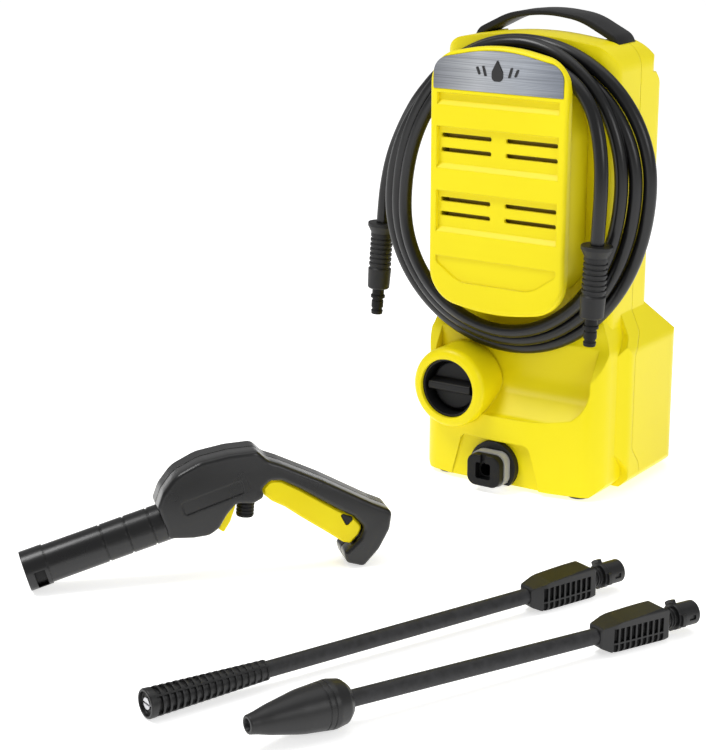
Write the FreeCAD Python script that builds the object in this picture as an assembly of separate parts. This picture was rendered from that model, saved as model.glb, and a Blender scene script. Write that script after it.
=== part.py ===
"""Electric pressure washer with its hose, trigger gun and two lances.

Millimetres, +Z up. The origin is on the floor under the middle of the machine, -Y is its front
and +X its right-hand side seen from the front. The gun and the lances lie on the floor beside it.
"""
import FreeCAD, Part
import math
import os
from FreeCAD import Rotation, Vector

# ---- housing ------------------------------------------------------------------------------
BODY_TOP = 377.0          # crown of the housing above the floor
TOWER_WIDTH = 156.0       # upper housing, side to side
TOWER_FRONT = -44.0       # front wall of the upper housing
TOWER_REAR = 38.0         # rear wall at the waist
BULGE_REAR = 50.0         # rear wall of the motor bulge
BULGE_BOTTOM = 246.0
BULGE_TOP = 322.0
SKIRT_WIDTH = 168.0       # lower front of the housing
SKIRT_FRONT = -77.0
POD_WIDTH = 182.0         # rear pods, the widest part
POD_REAR = 76.0
POD_LEAD = 20.0           # how far the pods reach ahead of the joint of the halves
POD_FLARE = 13.0
POD_TOP = 120.0
BASE_CLEAR = 3.0          # floor to the underside of the housing
BASE_CHAMFER = 8.0
WALL = 2.6
SEAM_Y = 3.0              # joint of the two housing halves
SEAM_LOW_Y = -14.0        # the same joint beside the pods
SEAM_GAP = 0.4
SHOULDER_DROP = 11.0      # crown to the housing's side shoulders

SCOOP_WIDTH = 148.0       # hollow in front of the hose
SCOOP_Z = 62.0
SCOOP_REAR = -46.0
APRON_Z = 41.0            # recess round the outlet
APRON_TOP_WIDTH = 64.0
APRON_FOOT_WIDTH = 98.0
APRON_Y = -66.0

# ---- hand recess and carrying strap -------------------------------------------------------
STRAP_SPAN = 132.0
STRAP_FRONT = -14.0
STRAP_WIDTH = 30.0
STRAP_THICKNESS = 4.2
STRAP_RISE = 14.0         # crown of the strap above the crown of the housing
STRAP_FOOT = 22.0         # depth of each foot in the housing
STRAP_CLEAR = 0.3
RECESS_DEPTH = 26.0
RECESS_WIDTH = 104.0
RECESS_FRONT = -10.0
RECESS_REAR = 26.0

# ---- hose panel ---------------------------------------------------------------------------
PANEL_WIDTH = 124.0
PANEL_TOP = BODY_TOP - 6.0
PANEL_HEIGHT = 221.0
PANEL_FRONT = -90.0
PANEL_LIP = 8.0           # thickness of the lip that keeps the hose on
PANEL_WALL = 3.0
PANEL_RIM = 7.0
NECK_SIDE = 5.0           # lip overhang at the sides
NECK_DROP = 18.0          # lip overhang above the neck
SLAT_RELIEF = 3.5
SLAT_BEVEL = 4.0
SLAT_TOPS = (48.0, 99.0, 151.0)        # tops of the three slats under the panel's crown
SLAT_HEIGHTS = (21.0, 22.0, 24.0)
CHIN_DEPTH = 20.0
SLOT_HEIGHT = 3.6
SLOT_PITCH = 11.8
SLOT_LENGTH = 46.5
SLOT_POST = 13.0
BADGE_BOTTOM = 39.0       # under the panel's crown
BADGE_MARGIN = 3.5
BADGE_THICKNESS = 1.4
BADGE_PROUD = 0.4
EMBLEM_THICKNESS = 0.6
EMBLEM_HEIGHT = 15.0
EMBLEM_RADIUS = 5.0

# ---- switch -------------------------------------------------------------------------------
SWITCH_X = -47.0
SWITCH_Z = 82.0
SWITCH_RING_RADIUS = 34.0
SWITCH_RING_FRONT = -83.0
WELL_RADIUS = 25.0
WELL_FRONT = -80.0
WELL_FLOOR = -62.0
WELL_WALL = 2.0
FIT = 0.1                 # clearance of a seated piece
RUN = 0.05                # radial clearance of a turning piece
KNOB_RADIUS = 20.5
KNOB_THICKNESS = 8.0
KNOB_BAR_WIDTH = 13.0
KNOB_BAR_HEIGHT = 9.0
SPINDLE_RADIUS = 4.0
SPINDLE_LENGTH = 22.0
BLOCK_SIZE = (34.0, 20.0, 26.0)

# ---- high-pressure outlet -----------------------------------------------------------------
OUTLET_X = -8.0
OUTLET_Z = 18.5
OUTLET_BORE = 11.0
COLLAR_RADIUS = 21.5
COLLAR_FRONT = -72.0
SLEEVE_SIZE = (33.0, 29.0)
SLEEVE_CORNER = 9.0
SLEEVE_FRONT = -80.0
SLEEVE_LENGTH = 21.0
SLEEVE_TRAVEL = 4.0
FACE_SIZE = (31.0, 27.0)
FACE_CORNER = 8.0
FACE_FRONT = -88.0
FACE_SOCKET = 14.0
FACE_SOCKET_DEPTH = 6.0
MOVE_GAP = 0.4            # between parts of different bodies
SOCKET_RADIUS = 8.0

# ---- pump and drive -----------------------------------------------------------------------
PUMP_X = -14.0
MOTOR_X = 16.0
DRIVE_Y = -3.0
HEAD_RADIUS = 32.0
HEAD_BOTTOM = 7.0
HEAD_HEIGHT = 34.0
CYLINDER_HEIGHT = 30.0
CYLINDER_CIRCLE = 18.0
PISTON_RADIUS = 6.0
PISTON_LENGTH = 34.0
PISTON_HEAD_RADIUS = 9.0
PISTON_HEAD = 3.0
PISTON_REST = 40.0        # underside of the piston heads above the pump head
PISTON_STROKE = 6.0
SPRING_WIRE = 1.2
WOBBLE_RADIUS = 24.0
WOBBLE_TILT = 6.0
WOBBLE_THICKNESS = 6.0
GEAR_RADIUS = 24.0
PINION_RADIUS = 6.0
GEAR_THICKNESS = 8.0
GEAR_Z = 118.0
SHAFT_RADIUS = 4.0
GEARBOX_Z = 130.0
GEARBOX_THICKNESS = 5.0
MOTOR_BOTTOM = 150.0
CORE_HEIGHT = 60.0
CORE_RADIUS = 20.0
STATOR_BORE = 21.0
STATOR_RADIUS = 34.0
COMMUTATOR_RADIUS = 11.0
COMMUTATOR_HEIGHT = 18.0
FAN_Z = 262.0
FAN_RADIUS = 30.0
FAN_HEIGHT = 14.0
SHAFT_TOP = 296.0
BEARING_OUTER = 11.0
BEARING_WIDTH = 7.0

# ---- rear connections, feet and screws ----------------------------------------------------
INLET_X = 40.0
INLET_Z = 30.0
INLET_THREAD = 26.4       # outside diameter of a 3/4 inch hose thread
INLET_BORE = 15.0
INLET_LENGTH = 20.0
STEM_RADIUS = 7.0
INLET_POCKET = 21.0
INLET_POCKET_DEPTH = 22.0
GLAND_X = -44.0
GLAND_Z = 36.0
GLAND_RADIUS = 9.0
CABLE_BORE = 8.0
FOOT_RADIUS = 9.0
FOOT_X = 62.0
FOOT_FRONT = -50.0
FOOT_REAR = 54.0
SCREW_X = 62.0
SCREW_HEIGHTS = (190.0, 300.0)
SCREW_LOW_Z = 66.0
SCREW_SHANK = 1.8
SCREW_HEAD = 4.0
SCREW_HEAD_HEIGHT = 3.0
SCREW_GRIP = 12.0
BOSS_RADIUS = 5.0
CUP_RADIUS = 6.5

# ---- hose ---------------------------------------------------------------------------------
HOSE_DIAMETER = 11.0
COIL_FRONT = -74.5
COIL_REAR = -46.6
COIL_LEFT = -126.0
COIL_RIGHT = 122.0
COIL_TOP = 376.0
COIL_BOTTOM = 111.5
COIL_LEFT_BAND = 31.0
COIL_RIGHT_BAND = 29.0
COIL_TOP_BAND = 21.0
COIL_BOTTOM_BAND = 26.0
COIL_TOP_X = 3.0
COIL_BOTTOM_X = -4.0
COIL_LEFT_Z = 230.0
COIL_RIGHT_Z = 262.0
GRIP_LENGTH = 58.0
NIPPLE_LENGTH = 23.0
RIGHT_TAIL = [            # from the right-hand grip up to the coil
    (91.5, -90.5, 222.0), (92.5, -90.5, 243.0), (93.0, -89.0, 264.0),
    (91.5, -86.0, 285.0), (87.0, -82.0, 305.0), (79.5, -77.5, 323.0), (69.0, -73.5, 338.0),
]
LEFT_TAIL = [             # from the left-hand grip up to the back of the coil
    (-141.5, -36.0, 204.0), (-140.5, -35.5, 222.0), (-138.0, -35.0, 242.0),
    (-132.5, -35.5, 263.0), (-123.0, -37.5, 283.0), (-111.0, -42.0, 301.0), (-98.0, -49.0, 317.0),
]

# ---- trigger gun (its own frame: X from the muzzle to the grip, Z up, Y across) ------------
GUN_PLACE = (-172.0, -455.0)
GUN_HEADING = 42.0        # from +Y towards +X
BARREL_SLOPE = 16.0
BARREL_START = -4.0       # muzzle centre in the gun's frame
BARREL_RADIUS = 14.2
BARREL_LENGTH = 122.0
BARREL_WALL = 1.9
GROOVE_PLACES = (60.0, 78.0, 96.0)
GROOVE_DEPTH = 0.7
MUZZLE_RADIUS = 15.0
MUZZLE_LENGTH = 17.0
SOCKET_LENGTH = 28.0
GUN_WIDTH = 31.0
GUN_EDGE = 3.0
GUN_WALL = 2.5
GRIP_REACH = 172.0        # where the body ends and the grip begins
TRIGGER_WIDTH = 23.0
TRIGGER_PIVOT = (177.5, 76.5)
TRIGGER_EYE = 4.0
TRIGGER_CHAMFER = 1.6
PIN_GAP = 0.8
PIN_RADIUS = 2.0
LEVER_WIDTH = 15.0
LEVER_PIVOT = (148.5, 59.5)
LEVER_ROOM = 1.2
LEVER_PIN = 1.5
LEVER_PIN_REACH = 2.5
PORT_TOP = (160.5, 66.0)
PORT_FOOT = (158.5, 43.5)
PORT_RADIUS = 6.2
PORT_RIB = 0.5
PORT_BORE = 10.8
VALVE_RADIUS = 5.5
FEED_RADIUS = 4.2
FEED_RISE = (147.0, 0, 68.5)
KNEE_REACH = 10.0
LOCK_TRAVEL = 1.5
GUN_SCREWS = ((118.0, 82.0), (162.0, 88.0), (248.0, 8.0), (261.0, 38.0))
GUN_SCREW_HEAD = 3.0
GUN_SCREW_SHANK = 1.4
GUN_SCREW_REACH = 24.0
GUN_SCREW_SINK = 3.2
GUN_SCREW_CAP = 2.0

# ---- lances (their own frame: X from the nozzle to the plug) -------------------------------
FLAT_PLACE = (34.0, -574.0)
FLAT_HEADING = 21.8
FLAT_LENGTH = 390.0
ROTOR_PLACE = (113.0, -573.0)
ROTOR_HEADING = 24.0
ROTOR_LENGTH = 352.0
LANCE_RADIUS = 5.6
FLOOR_CLEAR = 0.25        # under the lances
LANCE_BORE = 3.0
LANCE_INSERT = 22.0       # tube length hidden in a grip or head
JET_SLEEVE_LENGTH = 88.0
JET_NOSE_RADIUS = 10.0
JET_TAIL_RADIUS = 6.9
JET_RIBS = 17
JET_RIB_WIDTH = 1.5
NOZZLE_RADIUS = 4.0
NOZZLE_LENGTH = 14.0
GRIP_RADIUS = 12.5
GRIP_WIDTH = 19.0
LANCE_GRIP_LENGTH = 58.0
GRIP_RIBS = 9
GRIP_RIB_PITCH = 4.9
GRIP_POCKET = 3.4
GRIP_POCKET_DEPTH = 2.6
PLUG_RADIUS = 8.5
PLUG_LENGTH = 15.0
PLUG_FLANGE = 9.2
PLUG_MOUTH = 5.0
PLUG_BORE = 3.0
PLUG_BORE_DEPTH = 8.0
NECK_RINGS = 3
NECK_RING_LEAD = 1.2
NECK_RING_PITCH = 2.6
NECK_RING_WIDTH = 1.1
NECK_RING_HEIGHT = 1.0
WINGS = 3
WING_HALF = 4.2
WING_TURN = 30.0
NECK_RADIUS = 6.2
NECK_LENGTH = 13.0
WING_RADIUS = 11.6
WING_THICKNESS = 3.0
CONE_RADIUS = 16.0
CONE_TIP_RADIUS = 6.0
CONE_LENGTH = 70.0
CONE_WIDEST = 58.0        # from the tip
CORE_START = 16.0
CORE_END = 46.0
SPINNER_RADIUS = 6.0
SPINNER_GAP = 1.5

AXES = {
    "XY": (lambda a, b, c: Vector(a, b, c), Vector(0, 0, 1)),
    "XZ": (lambda a, b, c: Vector(a, c, b), Vector(0, 1, 0)),
    "YZ": (lambda a, b, c: Vector(c, a, b), Vector(1, 0, 0)),
}
X_AXIS = Vector(1, 0, 0)
Y_AXIS = Vector(0, 1, 0)
Z_AXIS = Vector(0, 0, 1)
STRAIGHT = math.radians(89.9)          # half the angle between two runs that need no arc
NODES = {}


# ---- drawing helpers ----------------------------------------------------------------------
def rounded_edges(points, radii, closed):
    """Straight runs through the points, joined by tangent arcs of the given radii."""
    count = len(points)
    corners = []
    for i, (point, radius) in enumerate(zip(points, radii)):
        before = points[i - 1]
        after = points[(i + 1) % count]
        is_end = not closed and i in (0, count - 1)
        back = (before - point).normalize()
        ahead = (after - point).normalize()
        half = back.getAngle(ahead) / 2
        if is_end or radius <= 0 or half > STRAIGHT:
            corners.append((point, None, point))
            continue
        room = 0.49 * min((before - point).Length, (after - point).Length)
        radius = min(radius, room * math.tan(half))
        reach = radius / math.tan(half)
        middle = (back + ahead).normalize()
        centre = point + middle * (radius / math.sin(half))
        corners.append((point + back * reach, centre - middle * radius, point + ahead * reach))
    edges = []
    last = count if closed else count - 1
    for i in range(count):
        start, middle, end = corners[i]
        if middle is not None:
            edges.append(Part.Arc(start, middle, end).toShape())
        if i < last:
            following = corners[(i + 1) % count][0]
            if (following - end).Length > 1e-6:
                edges.append(Part.LineSegment(end, following).toShape())
    return edges


def inset_outline(points, radii, depth):
    """Moves every side of an outline inwards, keeping its rounded corners concentric."""
    count = len(points)
    area = sum(points[i - 1][0] * points[i][1] - points[i][0] * points[i - 1][1]
               for i in range(count))
    turn = math.copysign(1.0, area)
    moved = []
    new_radii = []
    for i in range(count):
        here = points[i]
        before = points[i - 1]
        after = points[(i + 1) % count]
        length_in = math.dist(before, here)
        length_out = math.dist(here, after)
        ux, uy = (here[0] - before[0]) / length_in, (here[1] - before[1]) / length_in
        vx, vy = (after[0] - here[0]) / length_out, (after[1] - here[1]) / length_out
        shared = 1 + ux * vx + uy * vy
        moved.append((here[0] - turn * depth * (uy + vy) / shared,
                      here[1] + turn * depth * (ux + vx) / shared))
        convex = (ux * vy - uy * vx) * turn > 0
        grown = radii[i] - depth if convex else radii[i] + depth
        new_radii.append(max(grown, 0) if radii[i] else 0)
    return moved, new_radii


def prism(outline, plane, start, end, inset=0.0):
    """Extrudes an outline of (a, b, corner radius) points between two stations."""
    points = [(row[0], row[1]) for row in outline]
    radii = [row[2] for row in outline]
    if inset:
        points, radii = inset_outline(points, radii, inset)
    place, normal = AXES[plane]
    corners = [place(a, b, start) for a, b in points]
    face = Part.Face(Part.Wire(rounded_edges(corners, radii, True)))
    return face.extrude(normal * (end - start))


def mirrored(half):
    """Completes a symmetric outline from its right-hand half, listed from bottom to top."""
    left = [(-a, b, r) for a, b, r in reversed(half) if a > 0]
    return half + left


def slab(width, height, corner, x, z, front, rear):
    """Rounded rectangle seen from the front, between two depths."""
    outline = [(x - width / 2, z - height / 2, corner), (x + width / 2, z - height / 2, corner),
               (x + width / 2, z + height / 2, corner), (x - width / 2, z + height / 2, corner)]
    return prism(outline, "XZ", front, rear)


def box(low, high):
    size = Vector(*high) - Vector(*low)
    return Part.makeBox(size.x, size.y, size.z, Vector(*low))


def rod(radius, start, end):
    axis = Vector(*end) - Vector(*start)
    return Part.makeCylinder(radius, axis.Length, Vector(*start), axis)


def taper(radius_start, radius_end, start, end):
    axis = Vector(*end) - Vector(*start)
    return Part.makeCone(radius_start, radius_end, axis.Length, Vector(*start), axis)


def pipe(outer, inner, start, end):
    return rod(outer, start, end).cut(rod(inner, start, end))


def turned(profile, origin, axis=X_AXIS):
    """Revolves (station, radius, corner radius) points about an axis through the origin."""
    points = [Vector(s, 0, r) for s, r, _ in profile]
    radii = [c for _, _, c in profile]
    face = Part.Face(Part.Wire(rounded_edges(points, radii, True)))
    solid = face.revolve(Vector(0, 0, 0), X_AXIS, 360)
    solid.Placement = FreeCAD.Placement(Vector(*origin), Rotation(X_AXIS, axis))
    return solid


def join(shapes):
    """One fused solid with the seams between its faces removed."""
    result = shapes[0].multiFuse(shapes[1:]) if len(shapes) > 1 else shapes[0]
    return result.removeSplitter()


def cut(shape, tools):
    return shape.cut(tools[0] if len(tools) == 1 else tools[0].multiFuse(tools[1:]))


def route(points):
    """Path of straight runs with arcs as large as the runs beside them allow."""
    path = [Vector(*point) for point in points]
    radii = [0.0]
    for before, here, after in zip(path, path[1:], path[2:]):
        turn = math.pi - (before - here).getAngle(after - here)
        shorter = min((before - here).Length, (after - here).Length)
        radii.append(0.45 * shorter / math.tan(turn / 2))
    radii.append(0.0)
    return Part.Wire(rounded_edges(path, radii, False)), radii[1:-1]


def hose_tube(points):
    path, radii = route(points)
    start = Vector(*points[0])
    heading = Vector(*points[1]) - start
    ring = Part.Wire(Part.makeCircle(HOSE_DIAMETER / 2, start, heading))
    tube = path.makePipeShell([ring], True, False)
    section = math.pi * HOSE_DIAMETER ** 2 / 4
    print("hose tail %.0f mm, tightest arc %.0f mm, volume ratio %.4f"
          % (path.Length, min(radii), tube.Volume / (section * path.Length)))
    return tube


# ---- housing ------------------------------------------------------------------------------
FAR = 400.0               # well outside the machine
DEEP = 90.0               # start of the upper housing's outlines, inside the lower housing


def tower(inset):
    half = TOWER_WIDTH / 2
    shoulder = BODY_TOP - SHOULDER_DROP
    front = mirrored([(half, DEEP, 0), (half, shoulder, 22), (0, BODY_TOP, 300)])
    side = [(TOWER_FRONT, DEEP, 0), (TOWER_REAR, DEEP, 0), (TOWER_REAR, BODY_TOP - 32, 18),
            (8, BODY_TOP + 2, 16), (TOWER_FRONT, BODY_TOP + 2, 8)]
    bulge = [(0, BULGE_BOTTOM - 46, 0), (BULGE_REAR, BULGE_BOTTOM, 14), (BULGE_REAR, BULGE_TOP, 10),
             (TOWER_REAR - 8, BULGE_TOP + 20, 0), (0, BULGE_TOP + 20, 0)]
    parts = []
    for rear, profile in ((TOWER_REAR, side), (BULGE_REAR, bulge)):
        plan = [(-half, TOWER_FRONT, 14), (half, TOWER_FRONT, 14), (half, rear, 16), (-half, rear, 16)]
        solid = prism(plan, "XY", DEEP - inset, BODY_TOP + 5, inset)
        solid = solid.common(prism(front, "XZ", -FAR, FAR, inset))
        parts.append(solid.common(prism(profile, "YZ", -FAR, FAR, inset)))
    return join(parts)


def skirt(inset):
    half = SKIRT_WIDTH / 2
    low = BASE_CLEAR
    plan = [(-half, 30, 0), (-half, SKIRT_FRONT + 17, 20), (0, SKIRT_FRONT + 0.5, 260),
            (half, SKIRT_FRONT + 17, 20), (half, 30, 0)]
    side = [(30, low, 0), (SKIRT_FRONT + BASE_CHAMFER, low, 3),
            (SKIRT_FRONT - 1, low + BASE_CHAMFER + 1, 4), (SKIRT_FRONT - 1, 72, 34),
            (TOWER_FRONT, 128, 24), (TOWER_FRONT, 158, 0), (30, 158, 0)]
    front = [(-half + BASE_CHAMFER, low, 3), (half - BASE_CHAMFER, low, 3),
             (half, low + BASE_CHAMFER, 4), (half, 122, 14), (half - 12, 158, 0),
             (-half + 12, 158, 0), (-half, 122, 14), (-half, low + BASE_CHAMFER, 4)]
    solid = prism(plan, "XY", low - 1, 170, inset)
    solid = solid.common(prism(side, "YZ", -FAR, FAR, inset))
    return solid.common(prism(front, "XZ", -FAR, FAR, inset))


def pods(inset):
    half = POD_WIDTH / 2
    low = BASE_CLEAR
    nose = SEAM_LOW_Y - POD_LEAD
    step = (POD_WIDTH - SKIRT_WIDTH) / 2 + 1
    plan = [(-half + step, nose, 0), (half - step, nose, 0), (half, nose + POD_FLARE, 12),
            (half, POD_REAR, 22), (-half, POD_REAR, 22), (-half, nose + POD_FLARE, 12)]
    front = [(-half + BASE_CHAMFER, low, 3), (half - BASE_CHAMFER, low, 3),
             (half, low + BASE_CHAMFER, 4), (half, POD_TOP, 14),
             (TOWER_WIDTH / 2 - 8, POD_TOP + 48, 0),
             (-TOWER_WIDTH / 2 + 8, POD_TOP + 48, 0), (-half, POD_TOP, 14),
             (-half, low + BASE_CHAMFER, 4)]
    side = seam_line(low, -POD_LEAD) + [(SEAM_Y - POD_LEAD, POD_TOP + 51, 0), (24, POD_TOP + 34, 24),
                                  (TOWER_REAR + 12, POD_TOP + 13, 12), (POD_REAR, POD_TOP - 8, 14),
                                  (POD_REAR, low + BASE_CHAMFER, 4),
                                  (POD_REAR - BASE_CHAMFER, low, 3)]
    solid = prism(plan, "XY", low - 1, POD_TOP + 60, inset)
    solid = solid.common(prism(side, "YZ", -FAR, FAR, inset))
    return solid.common(prism(front, "XZ", -FAR, FAR, inset))


def seam_line(start, shift):
    """The joint of the two halves, seen from the side, from a height to the pods' top."""
    return [(shift, start, 0), (shift, 20, 8), (SEAM_LOW_Y + shift, 36, 8),
            (SEAM_LOW_Y + shift, POD_TOP - 3, 8), (SEAM_Y + shift, POD_TOP + 12, 8)]


def half_space(shift):
    """Everything behind the joint of the two halves."""
    line = seam_line(-20, shift) + [(SEAM_Y + shift, FAR, 0), (FAR, FAR, 0), (FAR, -20, 0)]
    return prism(line, "YZ", -FAR, FAR)


def scoop(grow):
    side = [(-FAR, SCOOP_Z, 0), (-70, SCOOP_Z, 8), (SCOOP_REAR, 86, 26), (SCOOP_REAR, FAR, 0),
            (-FAR, FAR, 0)]
    half = SCOOP_WIDTH / 2
    front = [(-half, SCOOP_Z, 32), (half, SCOOP_Z, 32), (half, 190, 0), (-half, 190, 0)]
    return prism(side, "YZ", -FAR, FAR, -grow).common(prism(front, "XZ", -FAR, 0, -grow))


def apron(grow):
    foot = APRON_FOOT_WIDTH / 2
    head = APRON_TOP_WIDTH / 2
    front = [(OUTLET_X - foot, -20, 0), (OUTLET_X + foot, -20, 0), (OUTLET_X + head, APRON_Z, 7),
             (OUTLET_X - head, APRON_Z, 7)]
    return prism(front, "XZ", -FAR, APRON_Y + grow, -grow)


def hand_recess(grow):
    half = RECESS_WIDTH / 2
    floor = BODY_TOP - RECESS_DEPTH
    front = [(-half, floor, 14), (half, floor, 14), (half, FAR, 0), (-half, FAR, 0)]
    return prism(front, "XZ", RECESS_FRONT - grow, RECESS_REAR + grow, -grow)


def envelope(inset):
    solid = join([tower(inset), skirt(inset), pods(inset)])
    return solid.cut(scoop(inset)).cut(apron(inset)).cut(hand_recess(inset))


def boss_places():
    """(x, z, depth of the rear wall) of the six screws that hold the halves together."""
    rows = [(SCREW_LOW_Z, POD_REAR), (SCREW_HEIGHTS[0], TOWER_REAR),
            (SCREW_HEIGHTS[1], BULGE_REAR)]
    return [(side * SCREW_X, z, rear) for z, rear in rows for side in (-1, 1)]


def boss_joint(rear):
    """Depth at which a front boss meets its rear cup."""
    return min(rear, BULGE_REAR) - 26.0


def strap_outline(inset):
    half = STRAP_SPAN / 2 - inset
    crown = BODY_TOP + STRAP_RISE - inset
    foot = BODY_TOP - STRAP_FOOT - SHOULDER_DROP
    return mirrored([(half, foot, 0), (half, crown - 20, 12), (half - 32, crown - 4, 60),
                     (0, crown, 220)])


def make_housing():
    outer = envelope(0.0)
    inner = envelope(WALL)
    skin = outer.cut(inner)
    ring = rod(SWITCH_RING_RADIUS, (SWITCH_X, -48, SWITCH_Z), (SWITCH_X, SWITCH_RING_FRONT, SWITCH_Z))
    rim = [e for e in ring.Edges if abs(e.CenterOfMass.y - SWITCH_RING_FRONT) < 0.01]
    ring = ring.makeFillet(6.5, rim[:1])
    behind_seam = half_space(0.0)
    ahead_of_seam = half_space(-SEAM_GAP)

    front = join([skin.cut(ahead_of_seam), ring.cut(inner.common(box((-FAR, -52, 0), (FAR, 0, FAR))))])
    rear = skin.common(behind_seam)

    bosses = []
    cups = []
    cup_voids = []
    boss_bores = []
    for x, z, back in boss_places():
        meet = boss_joint(back)
        wall = TOWER_FRONT + WALL / 2 if z > POD_TOP else SKIRT_FRONT + 12
        bosses.append(rod(BOSS_RADIUS, (x, wall, z), (x, meet - SEAM_GAP, z)))
        boss_bores.append(rod(SCREW_SHANK - FIT, (x, meet - SCREW_GRIP - 6, z), (x, meet, z)))
        cups.append(rod(CUP_RADIUS + WALL, (x, meet, z), (x, back, z)))
        cup_voids.append(rod(CUP_RADIUS, (x, meet + WALL, z), (x, FAR, z)))
        cup_voids.append(rod(SCREW_SHANK + FIT, (x, meet - 1, z), (x, meet + WALL + 1, z)))

    well_hole = rod(WELL_RADIUS + FIT, (SWITCH_X, -FAR, SWITCH_Z), (SWITCH_X, -30, SWITCH_Z))
    outlet_hole = rod(COLLAR_RADIUS - WALL, (OUTLET_X, -FAR, OUTLET_Z), (OUTLET_X, -40, OUTLET_Z))
    vent = slab(90, 120, 10, 0, BODY_TOP - 110, TOWER_FRONT - 5, TOWER_FRONT + 5)
    strap = prism(strap_outline(-STRAP_CLEAR), "XZ", STRAP_FRONT - STRAP_CLEAR,
                  STRAP_FRONT + STRAP_WIDTH + STRAP_CLEAR)
    strap = strap.cut(prism(strap_outline(STRAP_THICKNESS + STRAP_CLEAR), "XZ", -FAR, FAR))
    front = join([front] + [boss.common(outer) for boss in bosses])
    front = cut(front, boss_bores + [well_hole, outlet_hole, vent, strap])
    NODES["front_shell"] = front

    pocket_outer = rod(INLET_POCKET + WALL, (INLET_X, POD_REAR - INLET_POCKET_DEPTH, INLET_Z),
                       (INLET_X, POD_REAR, INLET_Z))
    pocket = rod(INLET_POCKET, (INLET_X, POD_REAR - INLET_POCKET_DEPTH + WALL, INLET_Z),
                 (INLET_X, FAR, INLET_Z))
    inlet_hole = rod(INLET_THREAD / 2 - 2 + FIT, (INLET_X, 0, INLET_Z), (INLET_X, FAR, INLET_Z))
    gland_hole = rod(GLAND_RADIUS - 2.5, (GLAND_X, 40, GLAND_Z), (GLAND_X, FAR, GLAND_Z))
    louvres = []
    for i in range(7):
        z = BODY_TOP - 62 - 12 * i
        louvres.append(slab(70, 4, 1.9, 0, z, BULGE_REAR - WALL - 2, FAR))
    rear = join([rear, pocket_outer.common(outer)] + [cup.common(outer) for cup in cups])
    rear = cut(rear, cup_voids + [pocket, inlet_hole, gland_hole, strap] + louvres)
    NODES["rear_shell"] = rear


def make_strap():
    outer = prism(strap_outline(0.0), "XZ", STRAP_FRONT, STRAP_FRONT + STRAP_WIDTH)
    inner = prism(strap_outline(STRAP_THICKNESS), "XZ", -FAR, FAR)
    below = box((-FAR, -FAR, 0), (FAR, FAR, BODY_TOP - STRAP_FOOT - SHOULDER_DROP + 4))
    NODES["carry_handle"] = outer.cut(inner).cut(below)


def make_feet():
    pads = []
    for x in (-FOOT_X, FOOT_X):
        for y in (FOOT_FRONT, FOOT_REAR):
            pads.append(rod(FOOT_RADIUS, (x, y, 0), (x, y, BASE_CLEAR)))
    pads.append(rod(FOOT_RADIUS, (0, 0, 0), (0, 0, BASE_CLEAR)))
    NODES["rubber_feet"] = Part.makeCompound(pads)


def make_housing_screws():
    screws = []
    for x, z, back in boss_places():
        seat = boss_joint(back) + WALL
        head = rod(SCREW_HEAD, (x, seat, z), (x, seat + SCREW_HEAD_HEIGHT, z))
        drive = prism([(x + 2.2 * math.cos(a * math.pi / 3), z + 2.2 * math.sin(a * math.pi / 3), 0)
                       for a in range(6)], "XZ", seat + 1.2, seat + SCREW_HEAD_HEIGHT)
        shank = rod(SCREW_SHANK - FIT, (x, seat, z), (x, seat - WALL - SCREW_GRIP, z))
        screws.append(join([head.cut(drive), shank]))
    NODES["housing_screws"] = Part.makeCompound(screws)


# ---- hose panel ---------------------------------------------------------------------------
def panel_outline():
    half = PANEL_WIDTH / 2
    bottom = PANEL_TOP - PANEL_HEIGHT
    return mirrored([(0, bottom, 260), (half, bottom + 11, 30), (half, PANEL_TOP - 13, 27),
                     (0, PANEL_TOP, 220)])


def neck_outline():
    half = PANEL_WIDTH / 2 - NECK_SIDE
    bottom = PANEL_TOP - PANEL_HEIGHT + 14
    crown = PANEL_TOP - NECK_DROP
    return mirrored([(0, bottom, 200), (half, bottom + 8, 26), (half, crown - 52, 30),
                     (half - 14, crown - 13, 26), (0, crown, 60)])


def badge_outline():
    half = PANEL_WIDTH / 2 - BADGE_MARGIN
    return [(-half, PANEL_TOP - BADGE_BOTTOM, 1), (half, PANEL_TOP - BADGE_BOTTOM, 1),
            (half, PANEL_TOP - 15.5, 24), (0, PANEL_TOP - BADGE_MARGIN, 220),
            (-half, PANEL_TOP - 15.5, 24)]


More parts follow.
